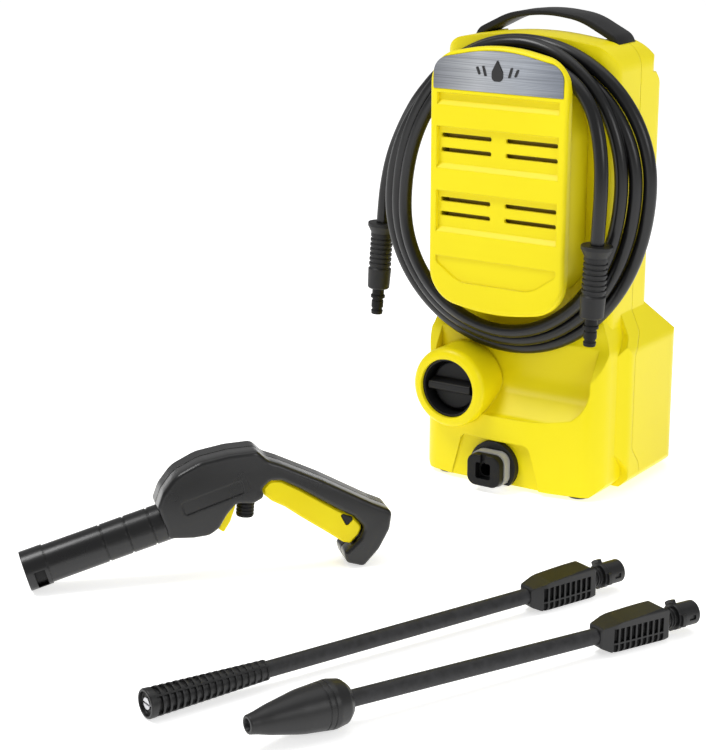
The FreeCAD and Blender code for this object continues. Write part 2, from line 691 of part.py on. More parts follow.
def make_panel():
    lip_rear = PANEL_FRONT + PANEL_LIP
    plate = prism(panel_outline(), "XZ", PANEL_FRONT, lip_rear)
    rim = [e for e in plate.Edges if abs(e.BoundBox.YMin - PANEL_FRONT) < 0.01
           and abs(e.BoundBox.YMax - PANEL_FRONT) < 0.01]
    plate = plate.makeFillet(3.5, rim)
    neck = prism(neck_outline(), "XZ", lip_rear, TOWER_FRONT)
    cavity = prism(neck_outline(), "XZ", PANEL_FRONT + SLAT_RELIEF + PANEL_WALL, TOWER_FRONT + 1,
                   PANEL_WALL)
    solid = join([plate, neck]).cut(cavity)

    field = PANEL_WIDTH / 2 - PANEL_RIM
    relief = PANEL_FRONT + SLAT_RELIEF
    recesses = []
    bottoms = [top + height for top, height in zip(SLAT_TOPS, SLAT_HEIGHTS)]
    starts = [BADGE_BOTTOM + 3.0] + bottoms[:-1]
    for start, top in zip(starts, SLAT_TOPS):
        side = [(PANEL_FRONT - 1, PANEL_TOP - start, 0), (relief, PANEL_TOP - start - 0.8, 0.5),
                (relief, PANEL_TOP - top, 0.5), (PANEL_FRONT, PANEL_TOP - top - SLAT_BEVEL, 0),
                (PANEL_FRONT - 1, PANEL_TOP - top - SLAT_BEVEL, 0)]
        recesses.append(prism(side, "YZ", -field, field))
    chin_top = PANEL_TOP - bottoms[-1]
    chin = [(-field, chin_top, 0), (-field, chin_top - 5, 8), (-field + 22, chin_top - CHIN_DEPTH, 26),
            (field - 22, chin_top - CHIN_DEPTH, 26), (field, chin_top - 5, 8), (field, chin_top, 0)]
    recesses.append(prism(chin, "XZ", PANEL_FRONT - 1, PANEL_FRONT + 1.6))

    slots = []
    for start, top in zip(starts[1:], SLAT_TOPS[1:]):
        middle = PANEL_TOP - (start + top) / 2 + 1.5
        for row in (-0.5, 0.5):
            for side in (-1, 1):
                centre = side * (SLOT_POST / 2 + SLOT_LENGTH / 2)
                slots.append(slab(SLOT_LENGTH, SLOT_HEIGHT, SLOT_HEIGHT * 0.46, centre,
                                  middle + row * SLOT_PITCH, PANEL_FRONT - 1, -75))
    seat_depth = BADGE_THICKNESS - BADGE_PROUD
    badge_seat = prism(badge_outline(), "XZ", PANEL_FRONT - 1, PANEL_FRONT + seat_depth)
    NODES["hose_panel"] = cut(solid, recesses + slots + [badge_seat])
    NODES["badge_plate"] = prism(badge_outline(), "XZ", PANEL_FRONT - BADGE_PROUD,
                                 PANEL_FRONT + seat_depth, FIT)
    make_emblem(PANEL_FRONT - BADGE_PROUD)


def make_emblem(front):
    """A plain water drop between two spray strokes."""
    z = PANEL_TOP - BADGE_BOTTOM / 2 - 3
    drop = [(0, z + EMBLEM_HEIGHT / 2 + 2, 0.6), (-EMBLEM_RADIUS, z, 3),
            (-EMBLEM_RADIUS, z - EMBLEM_HEIGHT / 2, EMBLEM_RADIUS),
            (EMBLEM_RADIUS, z - EMBLEM_HEIGHT / 2, EMBLEM_RADIUS), (EMBLEM_RADIUS, z, 3)]
    pieces = [prism(drop, "XZ", front - EMBLEM_THICKNESS, front)]
    for side in (-1, 1):
        for step in (1, 2):
            x = side * (EMBLEM_RADIUS + 5.5 * step)
            lean = side * 2.5
            low = z - 5 + step
            stroke = [(x - 1, low, 0.6), (x + 1, low, 0.6), (x + 1 + lean, low + 10 - 2 * step, 0.6),
                      (x - 1 + lean, low + 10 - 2 * step, 0.6)]
            pieces.append(prism(stroke, "XZ", front - EMBLEM_THICKNESS, front))
    NODES["badge_emblem"] = Part.makeCompound(pieces)


# ---- switch -------------------------------------------------------------------------------
def make_switch():
    x = SWITCH_X
    z = SWITCH_Z
    knob_rear = WELL_FLOOR - MOVE_GAP
    knob_front = knob_rear - KNOB_THICKNESS
    cup = rod(WELL_RADIUS, (x, WELL_FRONT, z), (x, WELL_FLOOR + WELL_WALL, z))
    cup = cup.cut(rod(WELL_RADIUS - WELL_WALL, (x, WELL_FRONT, z), (x, WELL_FLOOR, z)))
    NODES["switch_well"] = cup.cut(rod(SPINDLE_RADIUS + RUN, (x, WELL_FRONT, z), (x, 0, z)))

    disc = rod(KNOB_RADIUS, (x, knob_rear, z), (x, knob_front, z))
    edge = [e for e in disc.Edges if abs(e.CenterOfMass.y - knob_front) < 0.01]
    disc = disc.makeFillet(2.0, edge[:1])
    half = KNOB_BAR_WIDTH / 2
    side = [(knob_front + 1, z - half, 0), (knob_front + 1, z + half, 0),
            (knob_front - KNOB_BAR_HEIGHT, z + half - 3.5, 2),
            (knob_front - KNOB_BAR_HEIGHT, z - half + 3.5, 2)]
    bar = prism(side, "YZ", x - KNOB_RADIUS, x + KNOB_RADIUS)
    bar = bar.common(rod(KNOB_RADIUS - 0.6, (x, -FAR, z), (x, 0, z)))
    spindle = rod(SPINDLE_RADIUS, (x, knob_rear - 1, z), (x, knob_rear + SPINDLE_LENGTH, z))
    NODES["switch_knob"] = join([disc, bar, spindle])

    width, depth, height = BLOCK_SIZE
    front = WELL_FLOOR + WELL_WALL
    block = box((x - width / 2, front, z - height / 2), (x + width / 2, front + depth, z + height / 2))
    bore = rod(SPINDLE_RADIUS + RUN, (x, front, z), (x, front + depth, z))
    NODES["switch_block"] = block.cut(bore)


# ---- outlet -------------------------------------------------------------------------------
def make_outlet():
    x = OUTLET_X
    z = OUTLET_Z
    floor = box((-FAR, -FAR, -FAR), (FAR, FAR, BASE_CLEAR + 1))
    width, height = SLEEVE_SIZE
    travel_hole = slab(width + 2 * MOVE_GAP, height + 2 * MOVE_GAP, SLEEVE_CORNER + MOVE_GAP, x, z,
                       -FAR, 0)
    collar = rod(COLLAR_RADIUS, (x, COLLAR_FRONT, z), (x, APRON_Y, z))
    NODES["outlet_collar"] = collar.cut(travel_hole).cut(floor)

    face_width, face_height = FACE_SIZE
    socket_start = FACE_FRONT + FACE_SOCKET_DEPTH
    face_rear = SLEEVE_FRONT - MOVE_GAP
    face = slab(face_width, face_height, FACE_CORNER, x, z, FACE_FRONT, face_rear)
    edges = [e for e in face.Edges if abs(e.BoundBox.YMax - FACE_FRONT) < 0.01]
    face = face.makeFillet(1.5, edges)
    window = slab(FACE_SOCKET, FACE_SOCKET, 2, x, z, FACE_FRONT - 1, socket_start)
    notch = slab(5, 8, 0.8, x, z + FACE_SOCKET / 2 + 3, FACE_FRONT - 1, FACE_FRONT + 3)
    seat = rod(SOCKET_RADIUS, (x, socket_start - 0.01, z), (x, 0, z))
    NODES["coupling_face"] = face.cut(window).cut(notch).cut(seat)

    rear = SLEEVE_FRONT + SLEEVE_LENGTH
    sleeve = slab(width, height, SLEEVE_CORNER, x, z, SLEEVE_FRONT, rear)
    bore = rod(SOCKET_RADIUS + MOVE_GAP, (x, -FAR, z), (x, 0, z))
    NODES["coupling_housing"] = sleeve.cut(bore)

    head_front = DRIVE_Y - math.sqrt(HEAD_RADIUS ** 2 - (OUTLET_X - PUMP_X) ** 2)
    tube = rod(SOCKET_RADIUS, (x, socket_start, z), (x, head_front + 6, z))
    stop = rod(SOCKET_RADIUS + 5, (x, rear + SLEEVE_TRAVEL + 6, z), (x, rear + SLEEVE_TRAVEL + 9, z))
    bore = rod(OUTLET_BORE / 2, (x, socket_start, z), (x, socket_start + 24, z))
    way = rod(3, (x, socket_start, z), (x, head_front + 6, z))
    NODES["outlet_socket"] = join([tube, stop]).cut(bore).cut(way)
    turns = coil_spring(SOCKET_RADIUS + 2.4, SPRING_WIRE, rear + 0.8, rear + SLEEVE_TRAVEL + 5.2, 4)
    turns.Placement = FreeCAD.Placement(Vector(x, 0, z), Rotation(Z_AXIS, Y_AXIS))
    NODES["coupling_spring"] = turns
    return head_front


def coil_spring(radius, wire, start, end, turns):
    """Round-wire spring along Z, drawn as separate closed rings joined to a spine strip."""
    pitch = (end - start) / turns
    spine = box((radius - wire / 3, -wire / 3, start), (radius + wire / 3, wire / 3, end))
    rings = [Part.makeTorus(radius, wire / 2, Vector(0, 0, start + pitch * (i + 0.5)), Z_AXIS)
             for i in range(turns)]
    return join([spine] + rings)


# ---- pump and drive -----------------------------------------------------------------------
def piston_places():
    for i in range(3):
        angle = math.radians(30 + 120 * i)
        yield (PUMP_X + CYLINDER_CIRCLE * math.cos(angle), DRIVE_Y + CYLINDER_CIRCLE * math.sin(angle))


def make_pump(head_front):
    x, y = PUMP_X, DRIVE_Y
    head_top = HEAD_BOTTOM + HEAD_HEIGHT
    head = rod(HEAD_RADIUS, (x, y, HEAD_BOTTOM), (x, y, head_top))
    port = rod(SOCKET_RADIUS, (OUTLET_X, -FAR, OUTLET_Z), (OUTLET_X, head_front + 6, OUTLET_Z))
    gallery = rod(3, (OUTLET_X, head_front, OUTLET_Z), (OUTLET_X, y, OUTLET_Z))
    feed = rod(STEM_RADIUS, (INLET_X, inlet_rear() - 1.5, INLET_Z), (x, y, INLET_Z))
    bores = [rod(PISTON_RADIUS + RUN, (px, py, HEAD_BOTTOM + 8), (px, py, head_top + 1))
             for px, py in piston_places()]
    NODES["pump_head"] = cut(head, [port, gallery, feed.cut(rod(HEAD_RADIUS - 8, (x, y, 0), (x, y, FAR)))]
                             + bores)
    block_top = head_top + CYLINDER_HEIGHT
    block = rod(HEAD_RADIUS - 2, (x, y, head_top), (x, y, block_top))
    bores = [rod(PISTON_RADIUS + RUN, (px, py, head_top - 1), (px, py, block_top + 1))
             for px, py in piston_places()]
    NODES["cylinder_block"] = cut(block, bores)

    springs = []
    rest = head_top + PISTON_REST
    for i, (px, py) in enumerate(piston_places()):
        foot = rest + PISTON_HEAD - PISTON_LENGTH
        stem = rod(PISTON_RADIUS, (px, py, foot), (px, py, rest))
        cap = rod(PISTON_HEAD_RADIUS, (px, py, rest), (px, py, rest + PISTON_HEAD))
        NODES["piston_%d" % (i + 1)] = join([stem, cap])
        spring = coil_spring(PISTON_RADIUS + 1.6, SPRING_WIRE, block_top + 0.6, rest - 0.6, 3)
        spring.translate(Vector(px, py, 0))
        springs.append(spring)
    NODES["piston_springs"] = Part.makeCompound(springs)
    make_drive(rest + PISTON_HEAD + PISTON_STROKE)


def make_drive(pistons_top):
    x, y = PUMP_X, DRIVE_Y
    disc = rod(WOBBLE_RADIUS, (0, 0, 0), (0, 0, WOBBLE_THICKNESS))
    disc.rotate(Vector(0, 0, 0), X_AXIS, WOBBLE_TILT)
    dip = WOBBLE_RADIUS * math.sin(math.radians(WOBBLE_TILT))
    low = pistons_top + MOVE_GAP + dip
    disc.translate(Vector(x, y, low))
    gear_top = GEAR_Z + GEAR_THICKNESS
    post = rod(2 * SHAFT_RADIUS, (x, y, low + 2), (x, y, GEAR_Z + 1))
    NODES["wobble_plate"] = join([disc, post])
    gear = rod(GEAR_RADIUS, (x, y, GEAR_Z), (x, y, gear_top))
    stub = rod(SHAFT_RADIUS, (x, y, gear_top), (x, y, GEARBOX_Z + GEARBOX_THICKNESS))
    NODES["drive_gear"] = cut(join([gear, stub]), [rod(2 * SHAFT_RADIUS, (x, y, 0), (x, y, GEAR_Z + 1))])
    bearing_top = GEARBOX_Z
    bearing_low = bearing_top - 3.0
    bearing = pipe(2.4 * SHAFT_RADIUS, SHAFT_RADIUS + RUN, (x, y, bearing_low), (x, y, bearing_top))
    NODES["thrust_bearing"] = bearing

    mx = MOTOR_X
    plate = rod(HEAD_RADIUS + 2, (x, y, GEARBOX_Z), (x, y, GEARBOX_Z + GEARBOX_THICKNESS))
    lug = rod(STATOR_RADIUS - 2, (mx, y, GEARBOX_Z), (mx, y, GEARBOX_Z + GEARBOX_THICKNESS))
    legs = []
    block_top = HEAD_BOTTOM + HEAD_HEIGHT + CYLINDER_HEIGHT
    for angle in (100, 190, 260):
        turn = math.radians(angle)
        px = x + (HEAD_RADIUS - 2.5) * math.cos(turn)
        py = y + (HEAD_RADIUS - 2.5) * math.sin(turn)
        legs.append(rod(2.4, (px, py, block_top), (px, py, GEARBOX_Z)))
    case = join([plate, lug] + legs)
    seat_low = GEARBOX_Z
    case = cut(case, [rod(SHAFT_RADIUS + 4 * RUN, (x, y, 0), (x, y, FAR)),
                      rod(BEARING_OUTER, (mx, y, seat_low), (mx, y, FAR))])
    NODES["gearbox_case"] = case

    low_bearing = pipe(BEARING_OUTER, SHAFT_RADIUS + RUN, (mx, y, seat_low),
                       (mx, y, seat_low + BEARING_WIDTH))
    high_bearing = pipe(BEARING_OUTER, SHAFT_RADIUS + RUN, (mx, y, SHAFT_TOP - BEARING_WIDTH),
                        (mx, y, SHAFT_TOP))
    NODES["motor_bearings"] = Part.makeCompound([low_bearing, high_bearing])

    pinion = rod(PINION_RADIUS - MOVE_GAP, (mx, y, GEAR_Z), (mx, y, GEAR_Z + GEAR_THICKNESS))
    shaft = rod(SHAFT_RADIUS, (mx, y, GEAR_Z), (mx, y, SHAFT_TOP))
    core_top = MOTOR_BOTTOM + CORE_HEIGHT
    core = rod(CORE_RADIUS, (mx, y, MOTOR_BOTTOM), (mx, y, core_top))
    teeth = []
    for i in range(12):
        turn = math.radians(30 * i)
        teeth.append(rod(2.0, (mx + CORE_RADIUS * math.cos(turn), y + CORE_RADIUS * math.sin(turn),
                               MOTOR_BOTTOM - 1),
                         (mx + CORE_RADIUS * math.cos(turn), y + CORE_RADIUS * math.sin(turn),
                          core_top + 1)))
    core = cut(core, teeth)
    commutator = rod(COMMUTATOR_RADIUS, (mx, y, core_top + 8),
                     (mx, y, core_top + 8 + COMMUTATOR_HEIGHT))
    NODES["armature"] = join([shaft, pinion, core, commutator])

    stator = pipe(STATOR_RADIUS, STATOR_BORE, (mx, y, MOTOR_BOTTOM), (mx, y, core_top))
    posts = []
    for angle in (45, 135, 225, 315):
        turn = math.radians(angle)
        px = mx + (STATOR_RADIUS - 4) * math.cos(turn)
        py = y + (STATOR_RADIUS - 4) * math.sin(turn)
        posts.append(rod(2.5, (px, py, core_top), (px, py, SHAFT_TOP)))
        if px < mx + BEARING_OUTER + 20:
            posts.append(rod(2.5, (px, py, GEARBOX_Z + GEARBOX_THICKNESS), (px, py, MOTOR_BOTTOM)))
    bridge = pipe(STATOR_RADIUS - 1, BEARING_OUTER, (mx, y, SHAFT_TOP - BEARING_WIDTH),
                  (mx, y, SHAFT_TOP))
    NODES["stator"] = join([stator, bridge] + posts)

    hub = rod(8, (mx, y, FAN_Z), (mx, y, FAN_Z + FAN_HEIGHT))
    disc = rod(FAN_RADIUS - 5, (mx, y, FAN_Z), (mx, y, FAN_Z + 2))
    blades = []
    for i in range(9):
        blade = box((6, -1, FAN_Z), (FAN_RADIUS - 6, 1, FAN_Z + FAN_HEIGHT))
        blade.rotate(Vector(0, 0, 0), Z_AXIS, 40 * i)
        blade.translate(Vector(mx, y, 0))
        blades.append(blade)
    fan = join([hub, disc] + blades)
    NODES["cooling_fan"] = fan.cut(rod(SHAFT_RADIUS, (mx, y, 0), (mx, y, FAR)))

    brushes = []
    mid = core_top + 8 + COMMUTATOR_HEIGHT / 2
    for side in (-1, 1):
        near = mx + side * (COMMUTATOR_RADIUS + MOVE_GAP)
        far = mx + side * (COMMUTATOR_RADIUS + 16)
        brushes.append(box((min(near, far), y - 3, mid - 4), (max(near, far), y + 3, mid + 4)))
    NODES["carbon_brushes"] = Part.makeCompound(brushes)


def inlet_rear():
    return POD_REAR - INLET_POCKET_DEPTH


def make_inlet():
    x, z = INLET_X, INLET_Z
    rear = inlet_rear() + WALL
    thread = rod(INLET_THREAD / 2, (x, rear, z), (x, rear + INLET_LENGTH - WALL, z))
    grooves = []
    for i in range(5):
        y = rear + 3.5 + 2.6 * i
        grooves.append(pipe(INLET_THREAD / 2 + 1, INLET_THREAD / 2 - 1.1, (x, y, z), (x, y + 1.2, z)))
    neck_radius = INLET_THREAD / 2 - 2
    neck = rod(neck_radius, (x, inlet_rear() - 3, z), (x, rear, z))
    start = Vector(x, inlet_rear() - 1.5, z)
    target = Vector(PUMP_X, DRIVE_Y, z)
    along = (target - start).normalize()
    stem_end = target - along * (HEAD_RADIUS - 7)
    stem = Part.makeCylinder(STEM_RADIUS, (stem_end - start).Length, start, along)
    solid = join([cut(thread, grooves), neck, stem])
    bore = rod(INLET_BORE / 2, (x, inlet_rear() - 1, z), (x, FAR, z))
    NODES["water_inlet"] = solid.cut(bore)
    lip = rod(GLAND_RADIUS, (GLAND_X, POD_REAR, GLAND_Z), (GLAND_X, POD_REAR + 3, GLAND_Z))
    barrel = taper(GLAND_RADIUS - 2.5 - FIT, GLAND_RADIUS - 4, (GLAND_X, POD_REAR, GLAND_Z),
                   (GLAND_X, POD_REAR - 16, GLAND_Z))
    bore = rod(CABLE_BORE / 2, (GLAND_X, 0, GLAND_Z), (GLAND_X, FAR, GLAND_Z))
    NODES["cable_gland"] = join([lip, barrel]).cut(bore)

    sx = PUMP_X - HEAD_RADIUS + 4
    body = box((sx - 22, DRIVE_Y - 9, HEAD_BOTTOM + 6), (sx - 4, DRIVE_Y + 9, HEAD_BOTTOM + 34))
    nose = rod(5, (sx - 5, DRIVE_Y, HEAD_BOTTOM + 20), (sx + 2, DRIVE_Y, HEAD_BOTTOM + 20))
    NODES["pressure_switch"] = join([body, nose]).cut(NODES["pump_head"])


# ---- hose ---------------------------------------------------------------------------------
def coil_outline(outer):
    """Closed curve through the coil's edge, from four quarter ellipses between its stations."""
    step = 0 if outer else 1
    left = (COIL_LEFT + step * COIL_LEFT_BAND, COIL_LEFT_Z)
    right = (COIL_RIGHT - step * COIL_RIGHT_BAND, COIL_RIGHT_Z)
    top = (COIL_TOP_X, COIL_TOP - step * COIL_TOP_BAND)
    bottom = (COIL_BOTTOM_X, COIL_BOTTOM + step * COIL_BOTTOM_BAND)
    quarters = [(top, left), (bottom, left), (bottom, right), (top, right)]
    points = []
    for number, (pole, flank) in enumerate(quarters):
        for i in range(5):
            share = i / 5 if number % 2 == 0 else 1 - i / 5
            angle = share * math.pi / 2
            x = pole[0] + (flank[0] - pole[0]) * math.sin(angle)
            z = flank[1] + (pole[1] - flank[1]) * math.cos(angle)
            points.append(Vector(x, 0, z))
    curve = Part.BSplineCurve()
    curve.interpolate(points, PeriodicFlag=True)
    return Part.Wire(curve.toShape())


def make_coil():
    depth = COIL_REAR - COIL_FRONT
    outer = Part.Face(coil_outline(True)).extrude(Y_AXIS * depth)
    inner = Part.Face(coil_outline(False)).extrude(Y_AXIS * depth)
    coil = outer.cut(inner)
    coil.translate(Y_AXIS * COIL_FRONT)
    NODES["hose_coil"] = coil
    for side, tail in (("right", RIGHT_TAIL), ("left", LEFT_TAIL)):
        tube = hose_tube(tail).cut(coil)
        pieces = sorted(tube.Solids, key=lambda solid: solid.Volume)
        NODES["hose_tail_" + side] = pieces[-1]
        end = Vector(*tail[0])
        heading = (end - Vector(*tail[1])).normalize()
        make_hose_end(side, end, heading)


def make_hose_end(side, end, heading):
    """Bend protector with a flared mouth, then the plug-in nipple."""
    length = GRIP_LENGTH
    profile = [(0, 0, 0), (0, 12.6, 0.8), (3, 12.6, 0.8), (9, 9.4, 2)]
    ribs = 7
    pitch = (length * 0.68 - 10) / ribs
    for i in range(ribs):
        start = 10 + pitch * i
        profile += [(start, 9.6, 0.4), (start + pitch * 0.55, 9.6, 0.4),
                    (start + pitch * 0.6, 8.6, 0), (start + pitch * 0.95, 8.6, 0)]
    profile += [(length * 0.70, 10.0, 0.6), (length - 1, 9.4, 0.8), (length, 8.4, 0), (length, 0, 0)]
    NODES["hose_grip_" + side] = turned(profile, end, heading)
    start = end + heading * length
    reach = NIPPLE_LENGTH
    nipple = [(0, 1.5, 0), (0, 5.2, 0), (6, 5.2, 0), (6, 6.2, 0.3), (8.5, 6.2, 0.3), (8.5, 4.6, 0),
              (11, 4.6, 0), (11, 5.2, 0.3), (reach - 6, 5.2, 0.3), (reach - 6, 4.4, 0),
              (reach - 3.5, 4.4, 0), (reach - 3.5, 5.2, 0.3), (reach, 4.8, 0.5), (reach, 1.5, 0)]
    NODES["hose_nipple_" + side] = turned(nipple, start, heading)


# ---- trigger gun --------------------------------------------------------------------------
GUN_BODY = [
    (100, 35, 3), (118, 34, 12), (130, 35, 12), (137, 40, 6), (143, 50, 6), (150, 58, 5),
    (163, 57, 5), (171, 61, 4), (169.3, 67.5, 3), (175, 73.3, 5), (184, 73, 8), (198, 65.3, 30),
    (227, 46.7, 14), (239, 40, 6), (246.5, 31, 5), (243.5, 23.5, 3), (236.5, 16.5, 2),
    (231, 12, 3), (233, 4, 4), (246, 0, 4), (258, 13, 20), (266, 28, 12), (268, 42, 5),
    (254, 48.5, 14), (216, 69.5, 60), (184, 85, 16), (174, 89, 12), (166, 97, 7), (146, 96, 30),
    (124, 92, 26), (106, 83, 22), (96, 70, 16), (92, 59, 3),
]
GRIP_CAVITY = [
    (168.5, 58, 2), (168.5, 76, 3), (171, 83, 5), (184, 83, 6), (201, 71.5, 30), (232, 53.5, 10),
    (248, 45, 6), (255, 34, 6), (252, 24, 5), (243, 17, 4), (234, 19, 4), (224, 20, 6),
    (198, 36, 10), (178, 50, 5),
]
TRIGGER_OUTLINE = [
    (171, 62, 3), (170, 67, 3), (175.3, 72.6, 5), (183.7, 72.4, 8), (197.6, 64.6, 30),
    (226.5, 46, 14), (238.5, 39.3, 6), (245.6, 31, 5), (242.8, 24.4, 3), (236.5, 18, 2),
    (231, 19.5, 5), (217, 29.5, 30), (199, 42, 30), (187, 51, 14), (177, 56.5, 6),
]
LOCK_OUTLINE = [(228, 43, 1.2), (239, 38, 1.5), (233.5, 32.5, 1.2)]
LEVER_OUTLINE = [
    (147.5, 62, 1.5), (152, 60, 1.5), (150, 52, 10), (146.5, 42, 4), (141.5, 34, 1.2),
    (137.5, 36.8, 1.2), (140, 46, 10), (144, 56, 10),
]


def place_gun(shape):
    shape = shape.copy()
    shape.rotate(Vector(0, 0, 0), Z_AXIS, 90 - GUN_HEADING)
    shape.translate(Vector(GUN_PLACE[0], GUN_PLACE[1], 0))
    return shape


def barrel_point(distance, across=0.0, above=0.0):
    """Point in the gun's frame, measured along the barrel from the muzzle's centre."""
    slope = math.radians(BARREL_SLOPE)
    x = BARREL_START + distance * math.cos(slope) - above * math.sin(slope)
    z = MUZZLE_RADIUS * math.cos(slope) + distance * math.sin(slope) + above * math.cos(slope)
    return (x, across, z)


def barrel_rod(radius, start, end):
    return rod(radius, barrel_point(start), barrel_point(end))


def make_gun_shells():
    half = GUN_WIDTH / 2
    body = prism(GUN_BODY, "XZ", 0, half)
    outer_edges = [e for e in body.Edges if abs(e.BoundBox.YMin - half) < 0.01
                   and abs(e.BoundBox.YMax - half) < 0.01]
    body = body.makeFillet(GUN_EDGE, outer_edges)
    chest = [row for row in GUN_BODY if row[0] < GRIP_REACH]
    chest_room = prism(chest, "XZ", -1, half - GUN_WALL, GUN_WALL)
    grip_room = prism(GRIP_CAVITY, "XZ", -1, TRIGGER_WIDTH / 2 + MOVE_GAP)
    lever_room = prism(LEVER_OUTLINE, "XZ", -1, LEVER_WIDTH / 2 + MOVE_GAP, -LEVER_ROOM)
    lx, lz = LEVER_PIVOT
    lever_seat = rod(LEVER_PIN + RUN, (lx, 0, lz), (lx, LEVER_WIDTH / 2 + LEVER_PIN_REACH + FIT, lz))
    port_room = rod(PORT_RADIUS + FIT, (PORT_TOP[0], 0, PORT_TOP[1]), (PORT_FOOT[0], 0, PORT_FOOT[1]))
    panel = [(112, 52, 2), (156, 66, 2), (153.5, 76, 2), (109, 62, 2)]
    rooms = [chest_room, grip_room, lever_room, lever_seat, port_room,
             prism(panel, "XZ", half - 0.9, half + 1)]
    posts = [rod(GUN_SCREW_HEAD + 1.2, (x, 0, z), (x, half - 1, z)) for x, z in GUN_SCREWS[:2]]
    hollow = join([cut(body, rooms)] + posts)
    hollow = hollow.cut(barrel_rod(BARREL_RADIUS + FIT, BARREL_LENGTH - 40, BARREL_LENGTH))
    seat = half - GUN_SCREW_SINK
    heads = [rod(GUN_SCREW_HEAD + FIT, (x, half + 1, z), (x, seat, z)) for x, z in GUN_SCREWS]
    shanks = [rod(GUN_SCREW_SHANK, (x, half, z), (x, seat - GUN_SCREW_REACH, z)) for x, z in GUN_SCREWS]
    px, pz = TRIGGER_PIVOT
    wall = TRIGGER_WIDTH / 2 + 1
    pin = rod(PIN_RADIUS, (px, -wall, pz), (px, wall - PIN_GAP, pz))
    left = cut(hollow.mirror(Vector(0, 0, 0), Y_AXIS), shanks)
    NODES["gun_shell_left"] = place_gun(join([left, pin]))
    NODES["gun_shell_right"] = place_gun(cut(hollow, heads + shanks))
    screws = []
    for x, z in GUN_SCREWS:
        head = rod(GUN_SCREW_HEAD, (x, seat + GUN_SCREW_CAP, z), (x, seat, z))
        slot = rod(GUN_SCREW_HEAD / 2, (x, seat + GUN_SCREW_CAP / 2, z), (x, half, z))
        shank = rod(GUN_SCREW_SHANK, (x, seat, z), (x, seat - GUN_SCREW_REACH, z))
        screws.append(join([head.cut(slot), shank]))
    NODES["gun_screws"] = place_gun(Part.makeCompound(screws))


def make_gun_barrel():
    tube = join([barrel_rod(BARREL_RADIUS, 0, BARREL_LENGTH), barrel_rod(MUZZLE_RADIUS, 0, MUZZLE_LENGTH)])
    inner = BARREL_RADIUS - BARREL_WALL
    tools = [barrel_rod(inner, -1, BARREL_LENGTH + 1)]
    for place in GROOVE_PLACES:
        tools.append(barrel_rod(BARREL_RADIUS + 1, place, place + 1.2).cut(
            barrel_rod(BARREL_RADIUS - GROOVE_DEPTH, place - 1, place + 2)))
    window = box((6, -FAR, -12), (14, 0, 2))
    window.rotate(Vector(0, 0, 0), Y_AXIS, -BARREL_SLOPE)
    window.translate(Vector(*barrel_point(0)))
    tools.append(window.common(barrel_rod(MUZZLE_RADIUS + 1, 0, MUZZLE_LENGTH)))
    NODES["gun_barrel"] = place_gun(cut(tube, tools))

    outer = barrel_rod(inner - FIT, 1.5, SOCKET_LENGTH)
    ring = barrel_rod(inner - 1.2, 0, SOCKET_LENGTH - 6).cut(barrel_rod(PLUG_RADIUS + 1.2, 0, FAR))
    struts = []
    for i in range(3):
        strut = box((0, -1.2, 0), (SOCKET_LENGTH, 1.2, inner))
        strut.rotate(Vector(0, 0, 0), X_AXIS, 120 * i + 30)
        strut.rotate(Vector(0, 0, 0), Y_AXIS, -BARREL_SLOPE)
        strut.translate(Vector(*barrel_point(0)))
        struts.append(strut)
    bore = barrel_rod(PLUG_RADIUS + FIT, 0, SOCKET_LENGTH - 3)
    socket = outer.cut(cut(ring, struts)).cut(bore).cut(barrel_rod(LANCE_BORE, 0, FAR))
    NODES["gun_socket"] = place_gun(socket)

    top = (PORT_TOP[0], 0, PORT_TOP[1])
    foot = (PORT_FOOT[0], 0, PORT_FOOT[1])
    knee = barrel_point(BARREL_LENGTH + KNEE_REACH)
    balls = [Part.makeSphere(FEED_RADIUS, Vector(*place)) for place in (knee, FEED_RISE)]
    balls.append(Part.makeSphere(PORT_RADIUS, Vector(*top)))
    tubes = [barrel_rod(VALVE_RADIUS, SOCKET_LENGTH, BARREL_LENGTH), rod(PORT_RADIUS, top, foot),
             barrel_rod(FEED_RADIUS, BARREL_LENGTH - VALVE_RADIUS, BARREL_LENGTH + KNEE_REACH),
             rod(FEED_RADIUS, knee, FEED_RISE), rod(FEED_RADIUS, FEED_RISE, top)]
    down = (Vector(*foot) - Vector(*top)).normalize()
    rib_pitch = 2.6
    ribs = []
    for i in range(4):
        start = Vector(*foot) - down * (1.2 + rib_pitch * i)
        ribs.append(Part.makeCylinder(PORT_RADIUS + PORT_RIB, 1.1, start, down * -1))
    bore = Part.makeCylinder(PORT_BORE / 2, 16, Vector(*foot), down * -1)
    solid = join(tubes + balls + ribs).cut(bore)
    NODES["gun_valve"] = place_gun(solid.cut(barrel_rod(LANCE_BORE, 0, BARREL_LENGTH)))


